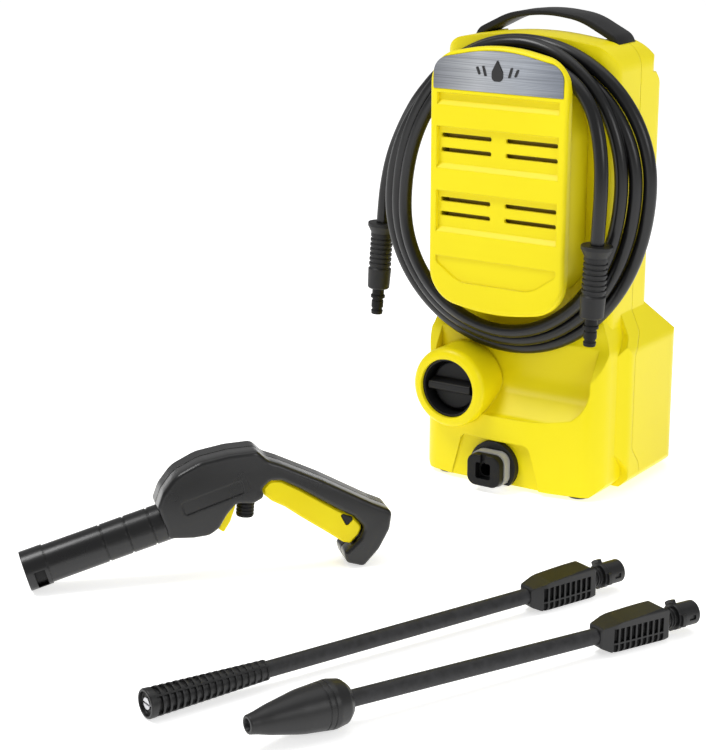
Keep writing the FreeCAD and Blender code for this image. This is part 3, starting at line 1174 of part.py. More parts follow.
def make_gun_controls():
    half = TRIGGER_WIDTH / 2
    px, pz = TRIGGER_PIVOT
    trigger = prism(TRIGGER_OUTLINE, "XZ", -half, half)
    rims = [e for e in trigger.Edges if abs(e.BoundBox.YMin - e.BoundBox.YMax) < 0.01]
    eye = rod(TRIGGER_EYE, (px, -half, pz), (px, half, pz))
    trigger = join([trigger.makeChamfer(TRIGGER_CHAMFER, rims), eye])
    lock_room = prism(LOCK_OUTLINE, "XZ", -half - 1, half + 1, -MOVE_GAP)
    NODES["gun_trigger"] = place_gun(cut(trigger, [lock_room, rod(PIN_RADIUS + RUN, (px, -half - 1, pz),
                                                                  (px, half + 1, pz))]))
    NODES["trigger_lock"] = place_gun(prism(LOCK_OUTLINE, "XZ", -half + 0.2, half - LOCK_TRAVEL - 0.2))
    width = LEVER_WIDTH / 2
    lever = prism(LEVER_OUTLINE, "XZ", -width, width)
    rims = [e for e in lever.Edges if abs(e.BoundBox.YMin - e.BoundBox.YMax) < 0.01]
    lx, lz = LEVER_PIVOT
    ends = width + LEVER_PIN_REACH
    pin = rod(LEVER_PIN, (lx, -ends, lz), (lx, ends, lz))
    NODES["hose_release"] = place_gun(join([lever.makeChamfer(0.9, rims), pin]))


# ---- lances -------------------------------------------------------------------------------
def place_lance(shape, place, heading, nose, tail):
    """Lays a lance on the floor; nose and tail are (station, radius) where it touches."""
    run = tail[0] - nose[0]
    tilt = math.atan2(tail[1] - nose[1], run)
    shape = shape.copy()
    shape.rotate(Vector(0, 0, 0), Y_AXIS, -math.degrees(tilt))
    height = nose[1] / math.cos(tilt) - nose[0] * math.tan(tilt)
    shape.rotate(Vector(0, 0, 0), Z_AXIS, 90 - heading)
    shape.translate(Vector(place[0], place[1], height + FLOOR_CLEAR))
    return shape


def lance_grip(start):
    """Moulded grip: a wedge with a flat top and two rows of pockets on each side."""
    end = start + LANCE_GRIP_LENGTH
    radius = GRIP_RADIUS
    half = GRIP_WIDTH / 2
    side = [(start, -6.6, 2), (start + 8, -radius + 2, 6), (start + 20, -radius, 8),
            (end - 4, -radius, 3), (end, -radius + 3.5, 2), (end, radius - 3.5, 2),
            (end - 6, radius, 3), (start + 16, radius - 2.5, 10), (start, 6.6, 3)]
    plan = [(start, -6.6, 2), (start + 12, -half, 10), (end, -half, 2), (end, half, 2),
            (start + 12, half, 10), (start, 6.6, 2)]
    section = [(-half, -radius, 5), (half, -radius, 5), (half, radius, 2.5), (-half, radius, 2.5)]
    body = prism(side, "XZ", -half, half).common(prism(plan, "XY", -radius, radius))
    body = body.common(prism(section, "YZ", start, end))
    pockets = []
    for i in range(GRIP_RIBS):
        x = start + 9.5 + GRIP_RIB_PITCH * i
        for low, high in ((-radius + 1.5, -5.2), (-4.0, radius - 6.5)):
            for sign in (-1, 1):
                near, far = sorted((sign * (half - GRIP_POCKET_DEPTH), sign * (half + 1)))
                pockets.append(box((x, near, low), (x + GRIP_POCKET, far, high)))
    return cut(body, pockets)


def lance_plug(start):
    """Ringed neck, bayonet wings and plug that enters the gun."""
    neck = NECK_RADIUS
    profile = [(start, 0, 0), (start, neck, 0)]
    for i in range(NECK_RINGS):
        ring = start + NECK_RING_LEAD + NECK_RING_PITCH * i
        ring_end = ring + NECK_RING_WIDTH
        profile += [(ring, neck, 0), (ring, neck + NECK_RING_HEIGHT, 0.3),
                    (ring_end, neck + NECK_RING_HEIGHT, 0.3), (ring_end, neck, 0)]
    wing = start + NECK_LENGTH - WING_THICKNESS
    end = start + NECK_LENGTH + PLUG_LENGTH
    seat = start + NECK_LENGTH
    bore_end = end - PLUG_BORE_DEPTH
    profile += [(wing - 1, neck, 0), (wing - 1, PLUG_FLANGE, 0.5), (seat, PLUG_FLANGE, 0),
                (seat, PLUG_RADIUS, 0), (end, PLUG_RADIUS, 0.8), (end, PLUG_MOUTH, 0.5),
                (bore_end, PLUG_BORE, 0), (bore_end, 0, 0)]
    solid = turned(profile, (0, 0, 0))
    wings = []
    for i in range(WINGS):
        wing_box = box((wing, -WING_HALF, 0), (wing + WING_THICKNESS, WING_HALF, WING_RADIUS + 2))
        wing_box.rotate(Vector(0, 0, 0), X_AXIS, 360 / WINGS * i - WING_TURN)
        wings.append(wing_box.common(rod(WING_RADIUS, (wing, 0, 0), (wing + WING_THICKNESS, 0, 0))))
    window = box((end - 9.5, -FAR, -2.0), (end - 4.0, -PLUG_RADIUS + 1.4, 1.4))
    return join([solid] + wings).cut(window)


def jet_sleeve():
    """Ribbed taper that carries the flat-jet nozzle."""
    length = JET_SLEEVE_LENGTH
    slope = (JET_TAIL_RADIUS - JET_NOSE_RADIUS) / length
    core_drop = 2.4
    envelope_solid = turned([(0, 0, 0), (0, JET_NOSE_RADIUS, 1.2), (length, JET_TAIL_RADIUS, 0.4),
                             (length, 0, 0)], (0, 0, 0))
    core = turned([(0, 0, 0), (0, JET_NOSE_RADIUS - core_drop, 0),
                   (length, JET_TAIL_RADIUS - 0.8, 0), (length, 0, 0)], (0, 0, 0))
    nose = rod(FAR, (-1, 0, 0), (5, 0, 0)).common(envelope_solid)
    rings = []
    pitch = (length - 5) / JET_RIBS
    for i in range(JET_RIBS):
        start = 5 + pitch * (i + 1) - JET_RIB_WIDTH
        radius = JET_NOSE_RADIUS + slope * start
        rings.append(rod(radius, (start, 0, 0), (start + JET_RIB_WIDTH, 0, 0)))
    fins = []
    for i in range(4):
        fin = box((0, -0.7, 0), (length, 0.7, JET_NOSE_RADIUS))
        fin.rotate(Vector(0, 0, 0), X_AXIS, 90 * i + 45)
        fins.append(fin.common(envelope_solid))
    solid = join([core, nose] + rings + fins)
    mouth = turned([(-1, 0, 0), (-1, JET_NOSE_RADIUS - 1.6, 0), (2.5, JET_NOSE_RADIUS - 2.4, 0.5),
                    (2.5, 0, 0)],
                   (0, 0, 0))
    nozzle_seat = rod(NOZZLE_RADIUS + FIT, (0, 0, 0), (2 + NOZZLE_LENGTH, 0, 0))
    tube_seat = rod(LANCE_RADIUS + FIT, (length - LANCE_INSERT, 0, 0), (length + 1, 0, 0))
    way = rod(LANCE_BORE, (0, 0, 0), (length, 0, 0))
    return cut(solid, [mouth, nozzle_seat, tube_seat, way])


def make_flat_lance():
    grip_start = FLAT_LENGTH - PLUG_LENGTH - NECK_LENGTH - LANCE_GRIP_LENGTH
    plug_start = grip_start + LANCE_GRIP_LENGTH
    tube_start = JET_SLEEVE_LENGTH - LANCE_INSERT
    tube_end = grip_start + LANCE_INSERT
    tube = pipe(LANCE_RADIUS, LANCE_BORE, (tube_start, 0, 0), (tube_end, 0, 0))
    nozzle = rod(NOZZLE_RADIUS, (1, 0, 0), (1 + NOZZLE_LENGTH, 0, 0))
    nozzle = nozzle.cut(rod(0.8, (0, 0, 0), (FAR, 0, 0)))
    slot = box((0, -NOZZLE_RADIUS, -0.6), (1.8, NOZZLE_RADIUS, 0.6))
    seat = rod(LANCE_RADIUS + FIT, (grip_start - 1, 0, 0), (tube_end, 0, 0))
    way = rod(LANCE_BORE, (grip_start, 0, 0), (plug_start + 1, 0, 0))
    pieces = {
        "flat_tube": tube,
        "flat_sleeve": jet_sleeve(),
        "flat_nozzle": nozzle.cut(slot),
        "flat_grip": cut(lance_grip(grip_start), [seat, way]),
        "flat_plug": lance_plug(plug_start),
    }
    nose = (0.6, JET_NOSE_RADIUS)
    tail = (plug_start - 4, GRIP_RADIUS)
    for name, piece in pieces.items():
        NODES[name] = place_lance(piece, FLAT_PLACE, FLAT_HEADING, nose, tail)


def make_rotor_lance():
    grip_start = ROTOR_LENGTH - PLUG_LENGTH - NECK_LENGTH - LANCE_GRIP_LENGTH
    plug_start = grip_start + LANCE_GRIP_LENGTH
    tube_start = CONE_LENGTH - 12
    tube_end = grip_start + LANCE_INSERT
    tube = pipe(LANCE_RADIUS, LANCE_BORE, (tube_start, 0, 0), (tube_end, 0, 0))
    tip = CONE_TIP_RADIUS
    widest = CONE_RADIUS
    cone = turned([(0, 0, 0), (0, tip, 1), (6, tip + 1.2, 0.6), (14, 9.4, 40), (36, 14.0, 60),
                   (CONE_WIDEST, widest, 6), (CONE_LENGTH - 4, widest - 1.5, 3),
                   (CONE_LENGTH, widest - 5, 1), (CONE_LENGTH, 0, 0)], (0, 0, 0))
    chamber = rod(SPINNER_RADIUS + SPINNER_GAP, (CORE_START - 1, 0, 0), (CORE_END + 1, 0, 0))
    mouth = turned([(-1, 0, 0), (-1, 4.5, 0), (3, 3, 0), (3, 0, 0)], (0, 0, 0))
    way = rod(2.5, (0, 0, 0), (CORE_START, 0, 0))
    feed = rod(LANCE_BORE, (CORE_END, 0, 0), (CONE_LENGTH, 0, 0))
    tube_seat = rod(LANCE_RADIUS + FIT, (tube_start, 0, 0), (CONE_LENGTH + 1, 0, 0))
    stripes = []
    for i in range(2):
        start = CONE_WIDEST - 4 - 4 * i
        stripes.append(pipe(widest + 2, widest - 0.6 - 0.35 * i, (start, 0, 0), (start + 1, 0, 0)))
    spinner = turned([(CORE_START, 0.8, 0), (CORE_START, 2.2, 0.3), (CORE_START + 6, 4.5, 2),
                      (CORE_START + 12, SPINNER_RADIUS, 2), (CORE_END, SPINNER_RADIUS, 0.5),
                      (CORE_END, 0.8, 0)], (0, 0, 0))
    seat = rod(LANCE_RADIUS + FIT, (grip_start - 1, 0, 0), (tube_end, 0, 0))
    grip_way = rod(LANCE_BORE, (grip_start, 0, 0), (plug_start + 1, 0, 0))
    pieces = {
        "rotor_tube": tube,
        "rotor_cone": cut(cone, [chamber, mouth, way, feed, tube_seat] + stripes),
        "rotor_core": spinner,
        "rotor_grip": cut(lance_grip(grip_start), [seat, grip_way]),
        "rotor_plug": lance_plug(plug_start),
    }
    nose = (CONE_WIDEST, widest)
    tail = (plug_start - 4, GRIP_RADIUS)
    for name, piece in pieces.items():
        NODES[name] = place_lance(piece, ROTOR_PLACE, ROTOR_HEADING, nose, tail)


def make_all():
    make_housing()
    make_strap()
    make_feet()
    make_housing_screws()
    make_panel()
    make_switch()
    make_pump(make_outlet())
    make_inlet()
    make_coil()
    make_gun_shells()
    make_gun_barrel()
    make_gun_controls()
    make_flat_lance()
    make_rotor_lance()


make_all()
os.makedirs("parts", exist_ok=True)
for name, shape in NODES.items():
    shape.exportStep("parts/%s.step" % name)
    print("%-18s solids %d volume %.0f valid %s" % (name, len(shape.Solids), shape.Volume, shape.isValid()))
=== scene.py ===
import math

import bpy
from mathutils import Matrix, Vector


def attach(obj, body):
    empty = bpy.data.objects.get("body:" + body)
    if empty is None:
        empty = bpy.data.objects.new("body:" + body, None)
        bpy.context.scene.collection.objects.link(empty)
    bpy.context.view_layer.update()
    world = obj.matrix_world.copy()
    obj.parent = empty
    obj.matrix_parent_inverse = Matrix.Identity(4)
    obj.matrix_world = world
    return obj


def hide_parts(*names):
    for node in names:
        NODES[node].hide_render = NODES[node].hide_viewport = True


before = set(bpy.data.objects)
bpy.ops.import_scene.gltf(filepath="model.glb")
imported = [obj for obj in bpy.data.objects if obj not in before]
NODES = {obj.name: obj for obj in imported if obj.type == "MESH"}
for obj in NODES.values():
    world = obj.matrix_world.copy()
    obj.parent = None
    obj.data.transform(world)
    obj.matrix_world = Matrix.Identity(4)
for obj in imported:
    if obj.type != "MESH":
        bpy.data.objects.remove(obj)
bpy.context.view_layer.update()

MM = 0.001
ROOT = "machine"


# ---- small helpers ------------------------------------------------------------------------
def tint(code):
    """Linear colour of an sRGB hex code."""
    parts = [int(code[i:i + 2], 16) / 255 for i in (1, 3, 5)]
    return tuple(c / 12.92 if c <= 0.04045 else ((c + 0.055) / 1.055) ** 2.4 for c in parts) + (1.0,)


def add(tree, kind, inputs=(), **settings):
    """A shader node with its settings, and its named inputs given values or wired."""
    node = tree.nodes.new("ShaderNode" + kind)
    for key, value in settings.items():
        setattr(node, key, value)
    for key, value in dict(inputs).items():
        if isinstance(value, bpy.types.NodeSocket):
            tree.links.new(value, node.inputs[key])
        else:
            node.inputs[key].default_value = value
    return node


def blank(name):
    """A new material, its tree and its shader."""
    material = bpy.data.materials.new(name)
    material.use_nodes = True
    tree = material.node_tree
    tree.nodes.clear()
    shader = add(tree, "BsdfPrincipled")
    output = add(tree, "OutputMaterial", {"Surface": shader.outputs["BSDF"]})
    output.location = (300, 0)
    return material, tree, shader


def ramp(tree, factor, stops):
    """A colour ramp through (place, colour) stops."""
    node = add(tree, "ValToRGB", {"Fac": factor})
    elements = node.color_ramp.elements
    elements[0].position, elements[0].color = stops[0]
    elements[1].position, elements[1].color = stops[-1]
    for place, colour in stops[1:-1]:
        elements.new(place).color = colour
    return node.outputs["Color"]


# ---- materials ----------------------------------------------------------------------------
TONE_LOW = 0.3              # the slow pattern is darkest up to here, and lightest from TONE_HIGH
TONE_HIGH = 0.7
POLISH_SPREAD = 0.08        # how unevenly a face is polished
COAT_ROUGHNESS = 0.25
EDGE_SAMPLES = 4


def moulded(name, light, dark, rough, grain_mm, depth_mm, patch_mm=60.0, coat=0.0, edge_mm=0.7,
            gloss=0.5):
    """Moulded plastic or rubber: slow change of tone, uneven polish, a fine grain and soft edges."""
    material, tree, shader = blank(name)
    place = add(tree, "TexCoord").outputs["Object"]
    slow = add(tree, "TexNoise", {"Vector": place, "Scale": 1000 / patch_mm, "Detail": 3.0})
    tone = ramp(tree, slow.outputs["Fac"], [(TONE_LOW, tint(dark)), (TONE_HIGH, tint(light))])
    tree.links.new(tone, shader.inputs["Base Color"])
    polish = add(tree, "MapRange", {"Value": slow.outputs["Fac"], "From Min": TONE_LOW,
                                    "From Max": TONE_HIGH, "To Min": rough * (1 - POLISH_SPREAD),
                                    "To Max": rough * (1 + POLISH_SPREAD)})
    tree.links.new(polish.outputs["Result"], shader.inputs["Roughness"])
    grain = add(tree, "TexNoise", {"Vector": place, "Scale": 1000 / grain_mm, "Detail": 2.0})
    edge = add(tree, "Bevel", {"Radius": edge_mm * MM}, samples=EDGE_SAMPLES)
    bump = add(tree, "Bump", {"Height": grain.outputs["Fac"], "Normal": edge.outputs["Normal"],
                              "Strength": 1.0, "Distance": depth_mm * MM})
    tree.links.new(bump.outputs["Normal"], shader.inputs["Normal"])
    shader.inputs["Specular IOR Level"].default_value = gloss
    shader.inputs["Coat Weight"].default_value = coat
    shader.inputs["Coat Roughness"].default_value = COAT_ROUGHNESS
    return material


def metal(name, light, dark, rough, grain_mm=0.6, depth_mm=0.01):
    """Machined or drawn metal with a faint uneven polish."""
    material = moulded(name, light, dark, rough, grain_mm, depth_mm, patch_mm=12.0)
    for node in material.node_tree.nodes:
        if node.type == "BSDF_PRINCIPLED":
            node.inputs["Metallic"].default_value = 1.0
    return material


# Bright lemon housing: the large calm colour the whole machine is known by.
LEMON = moulded("lemon_housing", "#F3E314", "#EDDB0C", 0.34, 0.5, 0.006, 120.0, edge_mm=1.6, gloss=0.2)
# The housing's plastic where it lies deep behind the slots, in a darker, browner tone that is painted shade:
# the shadow inside the slots painted into its colour.
SLOT_PAINTED_SHADE = moulded("lemon_in_shadow", "#A8920E", "#8C7808", 0.5, 0.8, 0.01)
# The same lemon on the small levers, a touch smoother.
LEMON_TRIM = moulded("lemon_levers", "#EFDD0C", "#E8D206", 0.3, 0.6, 0.004, gloss=0.2)
# Soft charcoal with a fine grain, for the strap, collar and knob.
CHARCOAL = moulded("grained_charcoal", "#18181A", "#131314", 0.5, 0.6, 0.02, edge_mm=1.2, gloss=0.3)
# Plain black for deep or hidden parts.
BLACK = moulded("plain_black", "#0C0C0D", "#09090A", 0.5, 0.8, 0.01, gloss=0.25)
# Satin black of the gun, with slow soft highlights.
GUN_BLACK = moulded("satin_gun_black", "#0F0F10", "#0B0B0C", 0.28, 0.5, 0.01, coat=0.1,
                    edge_mm=1.6, gloss=0.45)
# Matt, slightly mottled extrusion of the lance tubes.
TUBE_BLACK = moulded("mottled_tube_black", "#2A2A2C", "#161617", 0.55, 1.2, 0.03, 6.0, gloss=0.4)
# Fine-grained black of the lance grips and sleeve.
LANCE_BLACK = moulded("lance_black", "#121213", "#0D0D0E", 0.42, 0.5, 0.01, gloss=0.45)
# Charcoal of the rotary nozzle's cover.
CONE_BLACK = moulded("cone_charcoal", "#161617", "#101011", 0.42, 0.5, 0.01, edge_mm=1.2, gloss=0.45)
# Smooth rubbery skin of the hose, with long soft highlights.
HOSE_BLACK = moulded("hose_skin", "#0E0E0F", "#0A0A0B", 0.3, 1.0, 0.006, 30.0, gloss=0.45)
# Duller rubber of the hose's bend protectors and the feet.
RUBBER = moulded("soft_rubber", "#111112", "#0D0D0E", 0.52, 0.6, 0.015, gloss=0.45)
# Light matt grey of the coupling's sleeve, which sets it off from its dark face.
SLEEVE_GREY = moulded("coupling_grey", "#A6A6A4", "#989896", 0.5, 0.4, 0.012)
# Natural plastic of the drive gear.
GEAR_IVORY = moulded("gear_ivory", "#D8D5C8", "#CFCBBC", 0.5, 1.0, 0.01)
# Pressed carbon of the brushes: dull, dark and grainy.
CARBON = moulded("pressed_carbon", "#2A2A2A", "#1E1E1E", 0.7, 0.4, 0.02)
# Drawn steel of pins, springs, pistons and screws: bright, with a soft shine.
STEEL = metal("drawn_steel", "#C8C8CA", "#B8B8BB", 0.3)
# Stacked steel of the motor's core: duller and a little warm.
CORE_STEEL = metal("stacked_steel", "#8C8984", "#75726E", 0.45)
# Cast alloy of the pump: pale, matt and slightly rough.
ALLOY = metal("cast_alloy", "#C2C4C6", "#AEB0B2", 0.5, 1.2, 0.05)
# Machined brass of the water inlet: warm yellow with a clean shine.
BRASS = metal("machined_brass", "#C9A65A", "#B8944A", 0.3)


STREAK_SCALE = (14.0, 14.0, 2400.0)      # streaks about 70 mm long and 0.4 mm apart
BADGE_HALF = 60.0
STREAK_DEPTH = 0.02


def brushed_foil():
    """Brushed metal foil: fine streaks along the width, and a painted reflection across it, lighter across
    the middle and darker towards both ends.
    """
    material, tree, shader = blank("brushed_foil")
    place = add(tree, "TexCoord").outputs["Object"]
    drawn = add(tree, "Mapping", {"Vector": place, "Scale": STREAK_SCALE})
    streaks = add(tree, "TexNoise", {"Vector": drawn.outputs["Vector"], "Scale": 1.0, "Detail": 4.0})
    # Painted reflection: the foil's colour runs lighter across the middle of the badge's width and darker
    # towards both ends.
    across = add(tree, "SeparateXYZ", {"Vector": place}).outputs["X"]
    shade = add(tree, "MapRange", {"Value": across, "From Min": -BADGE_HALF * MM,
                                   "From Max": BADGE_HALF * MM})
    painted_reflection = ramp(tree, shade.outputs["Result"], [(0.0, tint("#8D9096")), (0.35, tint("#C4C7CB")),
                                               (0.7, tint("#B3B8C0")), (1.0, tint("#8E949E"))])
    grain = ramp(tree, streaks.outputs["Fac"], [(TONE_LOW, tint("#B9B9BB")),
                                               (TONE_HIGH, tint("#FFFFFF"))])
    mixed = add(tree, "Mix", data_type="RGBA", blend_type="MULTIPLY")
    mixed.inputs["Factor"].default_value = 1.0
    tree.links.new(painted_reflection, mixed.inputs["A"])
    tree.links.new(grain, mixed.inputs["B"])
    tree.links.new(mixed.outputs["Result"], shader.inputs["Base Color"])
    shader.inputs["Metallic"].default_value = 0.9
    shader.inputs["Roughness"].default_value = 0.36
    bump = add(tree, "Bump", {"Height": streaks.outputs["Fac"], "Strength": 0.6,
                              "Distance": STREAK_DEPTH * MM})
    tree.links.new(bump.outputs["Normal"], shader.inputs["Normal"])
    return material


# Brushed foil of the badge, in fine level streaks, with a painted reflection across its width.
FOIL = brushed_foil()
# Dark raised print of the plain emblem.
EMBLEM = moulded("emblem_print", "#19191A", "#151516", 0.35, 0.5, 0.003)

FINISHES = {
    "front_shell": LEMON, "rear_shell": LEMON, "hose_panel": LEMON, "badge_plate": FOIL,
    "badge_emblem": EMBLEM, "carry_handle": CHARCOAL, "switch_well": CHARCOAL,
    "switch_knob": CHARCOAL, "switch_block": BLACK, "outlet_collar": CHARCOAL,
    "coupling_housing": SLEEVE_GREY, "coupling_face": BLACK, "coupling_spring": STEEL,
    "outlet_socket": BLACK, "pump_head": ALLOY, "cylinder_block": ALLOY, "piston_1": STEEL,
    "piston_2": STEEL, "piston_3": STEEL, "piston_springs": STEEL, "wobble_plate": STEEL,
    "thrust_bearing": STEEL, "gearbox_case": BLACK, "drive_gear": GEAR_IVORY,
    "armature": CORE_STEEL, "cooling_fan": BLACK, "stator": CORE_STEEL, "motor_bearings": STEEL,
    "carbon_brushes": CARBON, "water_inlet": BRASS, "pressure_switch": BLACK,
    "cable_gland": RUBBER, "rubber_feet": RUBBER, "housing_screws": STEEL,
    "hose_coil": HOSE_BLACK, "hose_tail_left": HOSE_BLACK, "hose_tail_right": HOSE_BLACK,
    "hose_grip_left": RUBBER, "hose_grip_right": RUBBER, "hose_nipple_left": BLACK,
    "hose_nipple_right": BLACK, "gun_shell_left": GUN_BLACK, "gun_shell_right": GUN_BLACK,
    "gun_barrel": GUN_BLACK, "gun_socket": BLACK, "gun_trigger": LEMON_TRIM,
    "trigger_lock": CHARCOAL, "hose_release": LEMON_TRIM, "gun_valve": BLACK,
    "gun_screws": STEEL, "flat_tube": TUBE_BLACK, "flat_sleeve": LANCE_BLACK,
    "flat_nozzle": STEEL, "flat_grip": LANCE_BLACK, "flat_plug": LANCE_BLACK,
    "rotor_tube": TUBE_BLACK, "rotor_cone": CONE_BLACK, "rotor_core": BLACK,
    "rotor_grip": LANCE_BLACK, "rotor_plug": LANCE_BLACK,
}
for part_name, finish in FINISHES.items():
    NODES[part_name].data.materials.clear()
    NODES[part_name].data.materials.append(finish)


# ---- soft-edged housings ------------------------------------------------------------------
MERGE_MM = 0.002
FLAT_WITHIN = math.radians(0.6)
SHARP_ABOVE = math.radians(34)
ROOM = 1.5
SMOOTH_BELOW = math.radians(36)


def only(piece):
    """Leaves one piece selected and active."""
    bpy.ops.object.select_all(action="DESELECT")
    piece.select_set(True)
    bpy.context.view_layer.objects.active = piece


def weigh_edges(mesh, width_mm):
    """Marks the sharp edges whose faces leave room for a rounding of this width."""
    sides = {}
    for face in mesh.polygons:
        for key in face.edge_keys:
            sides.setdefault(key, []).append(face)
    weights = []
    for edge in mesh.edges:
        pair = sides.get(edge.key, [])
        start, end = (mesh.vertices[v].co for v in edge.vertices)
        length = (end - start).length
        roomy = len(pair) == 2 and min(face.area for face in pair) > ROOM * width_mm * MM * length
        sharp = roomy and pair[0].normal.angle(pair[1].normal, 0) > SHARP_ABOVE
        weights.append(1.0 if sharp else 0.0)
    mesh.attributes.new("bevel_weight_edge", "FLOAT", "EDGE").data.foreach_set("value", weights)


def soften(part, width_mm, segments, body, slot):
    """A piece on a CAD node's form with its sharp edges rounded, as a mould leaves them."""
    source = NODES[part]
    mesh = source.data.copy()
    piece = bpy.data.objects.new(part + "_soft", mesh)
    bpy.context.scene.collection.objects.link(piece)
    only(piece)
    bpy.ops.mesh.customdata_custom_splitnormals_clear()
    bpy.ops.object.mode_set(mode="EDIT")
    bpy.ops.mesh.select_all(action="SELECT")
    bpy.ops.mesh.remove_doubles(threshold=MERGE_MM * MM)
    bpy.ops.mesh.dissolve_limited(angle_limit=FLAT_WITHIN)
    bpy.ops.object.mode_set(mode="OBJECT")
    weigh_edges(mesh, width_mm)
    bevel = piece.modifiers.new("round", "BEVEL")
    bevel.width = width_mm * MM
    bevel.segments = segments
    bevel.limit_method = "WEIGHT"
    bevel.use_clamp_overlap = False
    bevel.miter_outer = "MITER_ARC"
    bpy.ops.object.modifier_apply(modifier="round")
    bpy.ops.object.shade_smooth_by_angle(angle=SMOOTH_BELOW)
    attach(piece, body)
    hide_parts(part)
    return piece


SOFT_PARTS = [
    ("carry_handle", 1.2, 2, "machine", "charcoal_plastic"),
    ("gun_shell_left", 1.0, 2, "gun", "gun_plastic"),
]
for entry in SOFT_PARTS:
    soften(*entry)


# ---- plate behind the cooling slots -------------------------------------------------------
BACKING_PLACE = (0, -78.5, 262)
BACKING_SIZE = (100, 1.5, 112)
BACKING_EDGE = 0.4


def slot_backing():
    """A rib plate a little way behind the panel's slots, its corners rounded."""
    bpy.ops.object.select_all(action="DESELECT")
    bpy.ops.mesh.primitive_cube_add(size=1, location=[v * MM for v in BACKING_PLACE],
                                    scale=[v * MM for v in BACKING_SIZE])
    plate = bpy.context.object
    plate.name = "slot_backing"
    bpy.ops.object.transform_apply(location=True, rotation=True, scale=True)
    bpy.ops.object.mode_set(mode="EDIT")
    bpy.ops.mesh.select_all(action="SELECT")
    bpy.ops.mesh.bevel(offset=BACKING_EDGE * MM, segments=2)
    bpy.ops.object.mode_set(mode="OBJECT")
    # The plate takes the painted-shade lemon. Its darker colour is painted shadow behind the slots.
    plate.data.materials.append(SLOT_PAINTED_SHADE)
    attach(plate, ROOT)


slot_backing()


# ---- hose ---------------------------------------------------------------------------------
HOSE_DIAMETER = 11.0
TURNS = 3
QUARTER_POINTS = 6
RIGHT_TAIL = [
    (91.5, -90.5, 222), (92.5, -90.5, 243), (93, -90, 264), (91.5, -88, 285), (87, -85, 305),
    (79.5, -81.5, 323), (68, -78.5, 337), (55, -76.5, 346.5), (38, -74, 354), (20, -71, 359),
]
LEFT_TAIL = [
    (-25, -50.5, 367), (-50, -50, 357.5), (-75, -50, 341), (-98, -47, 317), (-111, -42, 301),
    (-123, -37.5, 283), (-132.5, -35.5, 263), (-138, -35, 242), (-140.5, -35.5, 222),
    (-141.5, -36, 204),
]


def coil_stations():
    """(x, y, z) at the top, left, bottom and right of each turn."""
    stations = []
    for k in range(TURNS):
        stations.append((3, -69 + 6 * k, 360.5 if k % 2 == 0 else 370))
        stations.append((-100.5 - 10 * k, -66 + 5 * k, 230))
        stations.append((-4, -69 + 8.5 * k, 134.5 - 8.5 * k))
        stations.append((99.5 + 8.5 * k, -67 + 8 * k, 262))
    stations.append((3, -51, 370))
    return stations


def hose_route():
    stations = coil_stations()
    points = list(RIGHT_TAIL)
    for number, (start, end) in enumerate(zip(stations, stations[1:])):
        from_pole = number % 2 == 0
        for i in range(QUARTER_POINTS):
            share = i / QUARTER_POINTS
            turn = share * math.pi / 2
            lean = (math.sin(turn), 1 - math.cos(turn)) if from_pole else (1 - math.cos(turn), math.sin(turn))
            points.append((start[0] + (end[0] - start[0]) * lean[0],
                           start[1] + (end[1] - start[1]) * share,
                           start[2] + (end[2] - start[2]) * lean[1]))
    points.append(stations[-1])
    return points + LEFT_TAIL


def make_hose():
    curve = bpy.data.curves.new("hose", "CURVE")
    curve.dimensions = "3D"
    curve.bevel_depth = HOSE_DIAMETER / 2 * MM
    curve.bevel_resolution = 6
    curve.use_fill_caps = True
    points = hose_route()
    spline = curve.splines.new("NURBS")
    spline.points.add(len(points) - 1)
    for point, place in zip(spline.points, points):
        point.co = (*[v * MM for v in place], 1.0)
    spline.order_u = 3
    spline.use_endpoint_u = True
    spline.resolution_u = 6
    hose = bpy.data.objects.new("wound_hose", curve)
    bpy.context.scene.collection.objects.link(hose)
    curve.materials.append(HOSE_BLACK)
    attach(hose, ROOT)
    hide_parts("hose_coil", "hose_tail_left", "hose_tail_right")


make_hose()


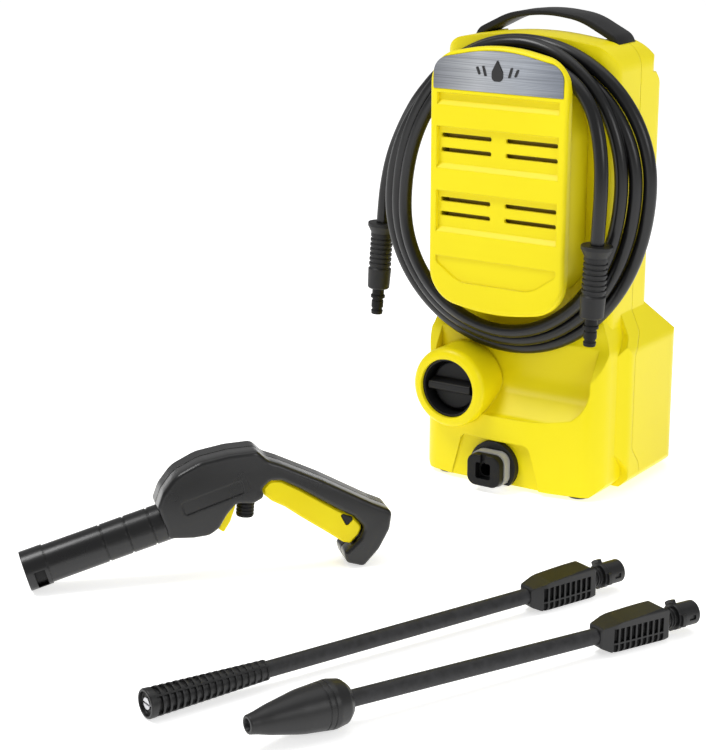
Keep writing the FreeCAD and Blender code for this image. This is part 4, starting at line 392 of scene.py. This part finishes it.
# ---- floor, light and camera --------------------------------------------------------------
def make_floor():
    bpy.ops.mesh.primitive_plane_add(size=30, location=(0, 0, -0.0006))
    floor = bpy.context.object
    floor.name = "studio_floor"
    material, tree, shader = blank("studio_white")
    shader.inputs["Base Color"].default_value = tint("#F7F7F7")
    shader.inputs["Roughness"].default_value = 0.9
    shader.inputs["Emission Color"].default_value = (1, 1, 1, 1)
    shader.inputs["Emission Strength"].default_value = 0.6
    floor.data.materials.append(material)


def make_light(name, place, aim, size, power):
    lamp = bpy.data.lights.new(name, "AREA")
    lamp.shape = "SQUARE"
    lamp.size = size
    lamp.energy = power
    holder = bpy.data.objects.new(name, lamp)
    bpy.context.scene.collection.objects.link(holder)
    holder.location = place
    direction = Vector(aim) - Vector(place)
    holder.rotation_euler = direction.to_track_quat("-Z", "Y").to_euler()


CAMERA_PLACE = (0.780, -1.448, 0.551)
CAMERA_AZIMUTH = math.radians(34)
CAMERA_PITCH = math.radians(16)


def make_camera():
    lens = bpy.data.cameras.new("camera")
    lens.sensor_width = 36
    lens.sensor_height = 36
    lens.sensor_fit = "AUTO"
    lens.lens = 96
    lens.clip_start = 0.05
    camera = bpy.data.objects.new("camera", lens)
    bpy.context.scene.collection.objects.link(camera)
    back = Vector((math.sin(CAMERA_AZIMUTH) * math.cos(CAMERA_PITCH),
                   -math.cos(CAMERA_AZIMUTH) * math.cos(CAMERA_PITCH), math.sin(CAMERA_PITCH)))
    camera.location = CAMERA_PLACE
    camera.rotation_euler = (-back).to_track_quat("-Z", "Y").to_euler()
    bpy.context.scene.camera = camera


make_floor()
make_light("key", (-1.0, -1.2, 2.4), (0, -0.1, 0.15), 0.9, 34)
make_light("fill", (2.4, -0.9, 1.3), (0, -0.1, 0.15), 1.0, 14)
make_light("top", (0.2, 0.2, 2.4), (0, -0.1, 0.0), 2.0, 14)
world = bpy.data.worlds.new("studio")
world.use_nodes = True
world.node_tree.nodes["Background"].inputs["Color"].default_value = (1, 1, 1, 1)
world.node_tree.nodes["Background"].inputs["Strength"].default_value = 0.4
bpy.context.scene.world = world
bpy.context.scene.view_settings.view_transform = "Standard"
make_camera()
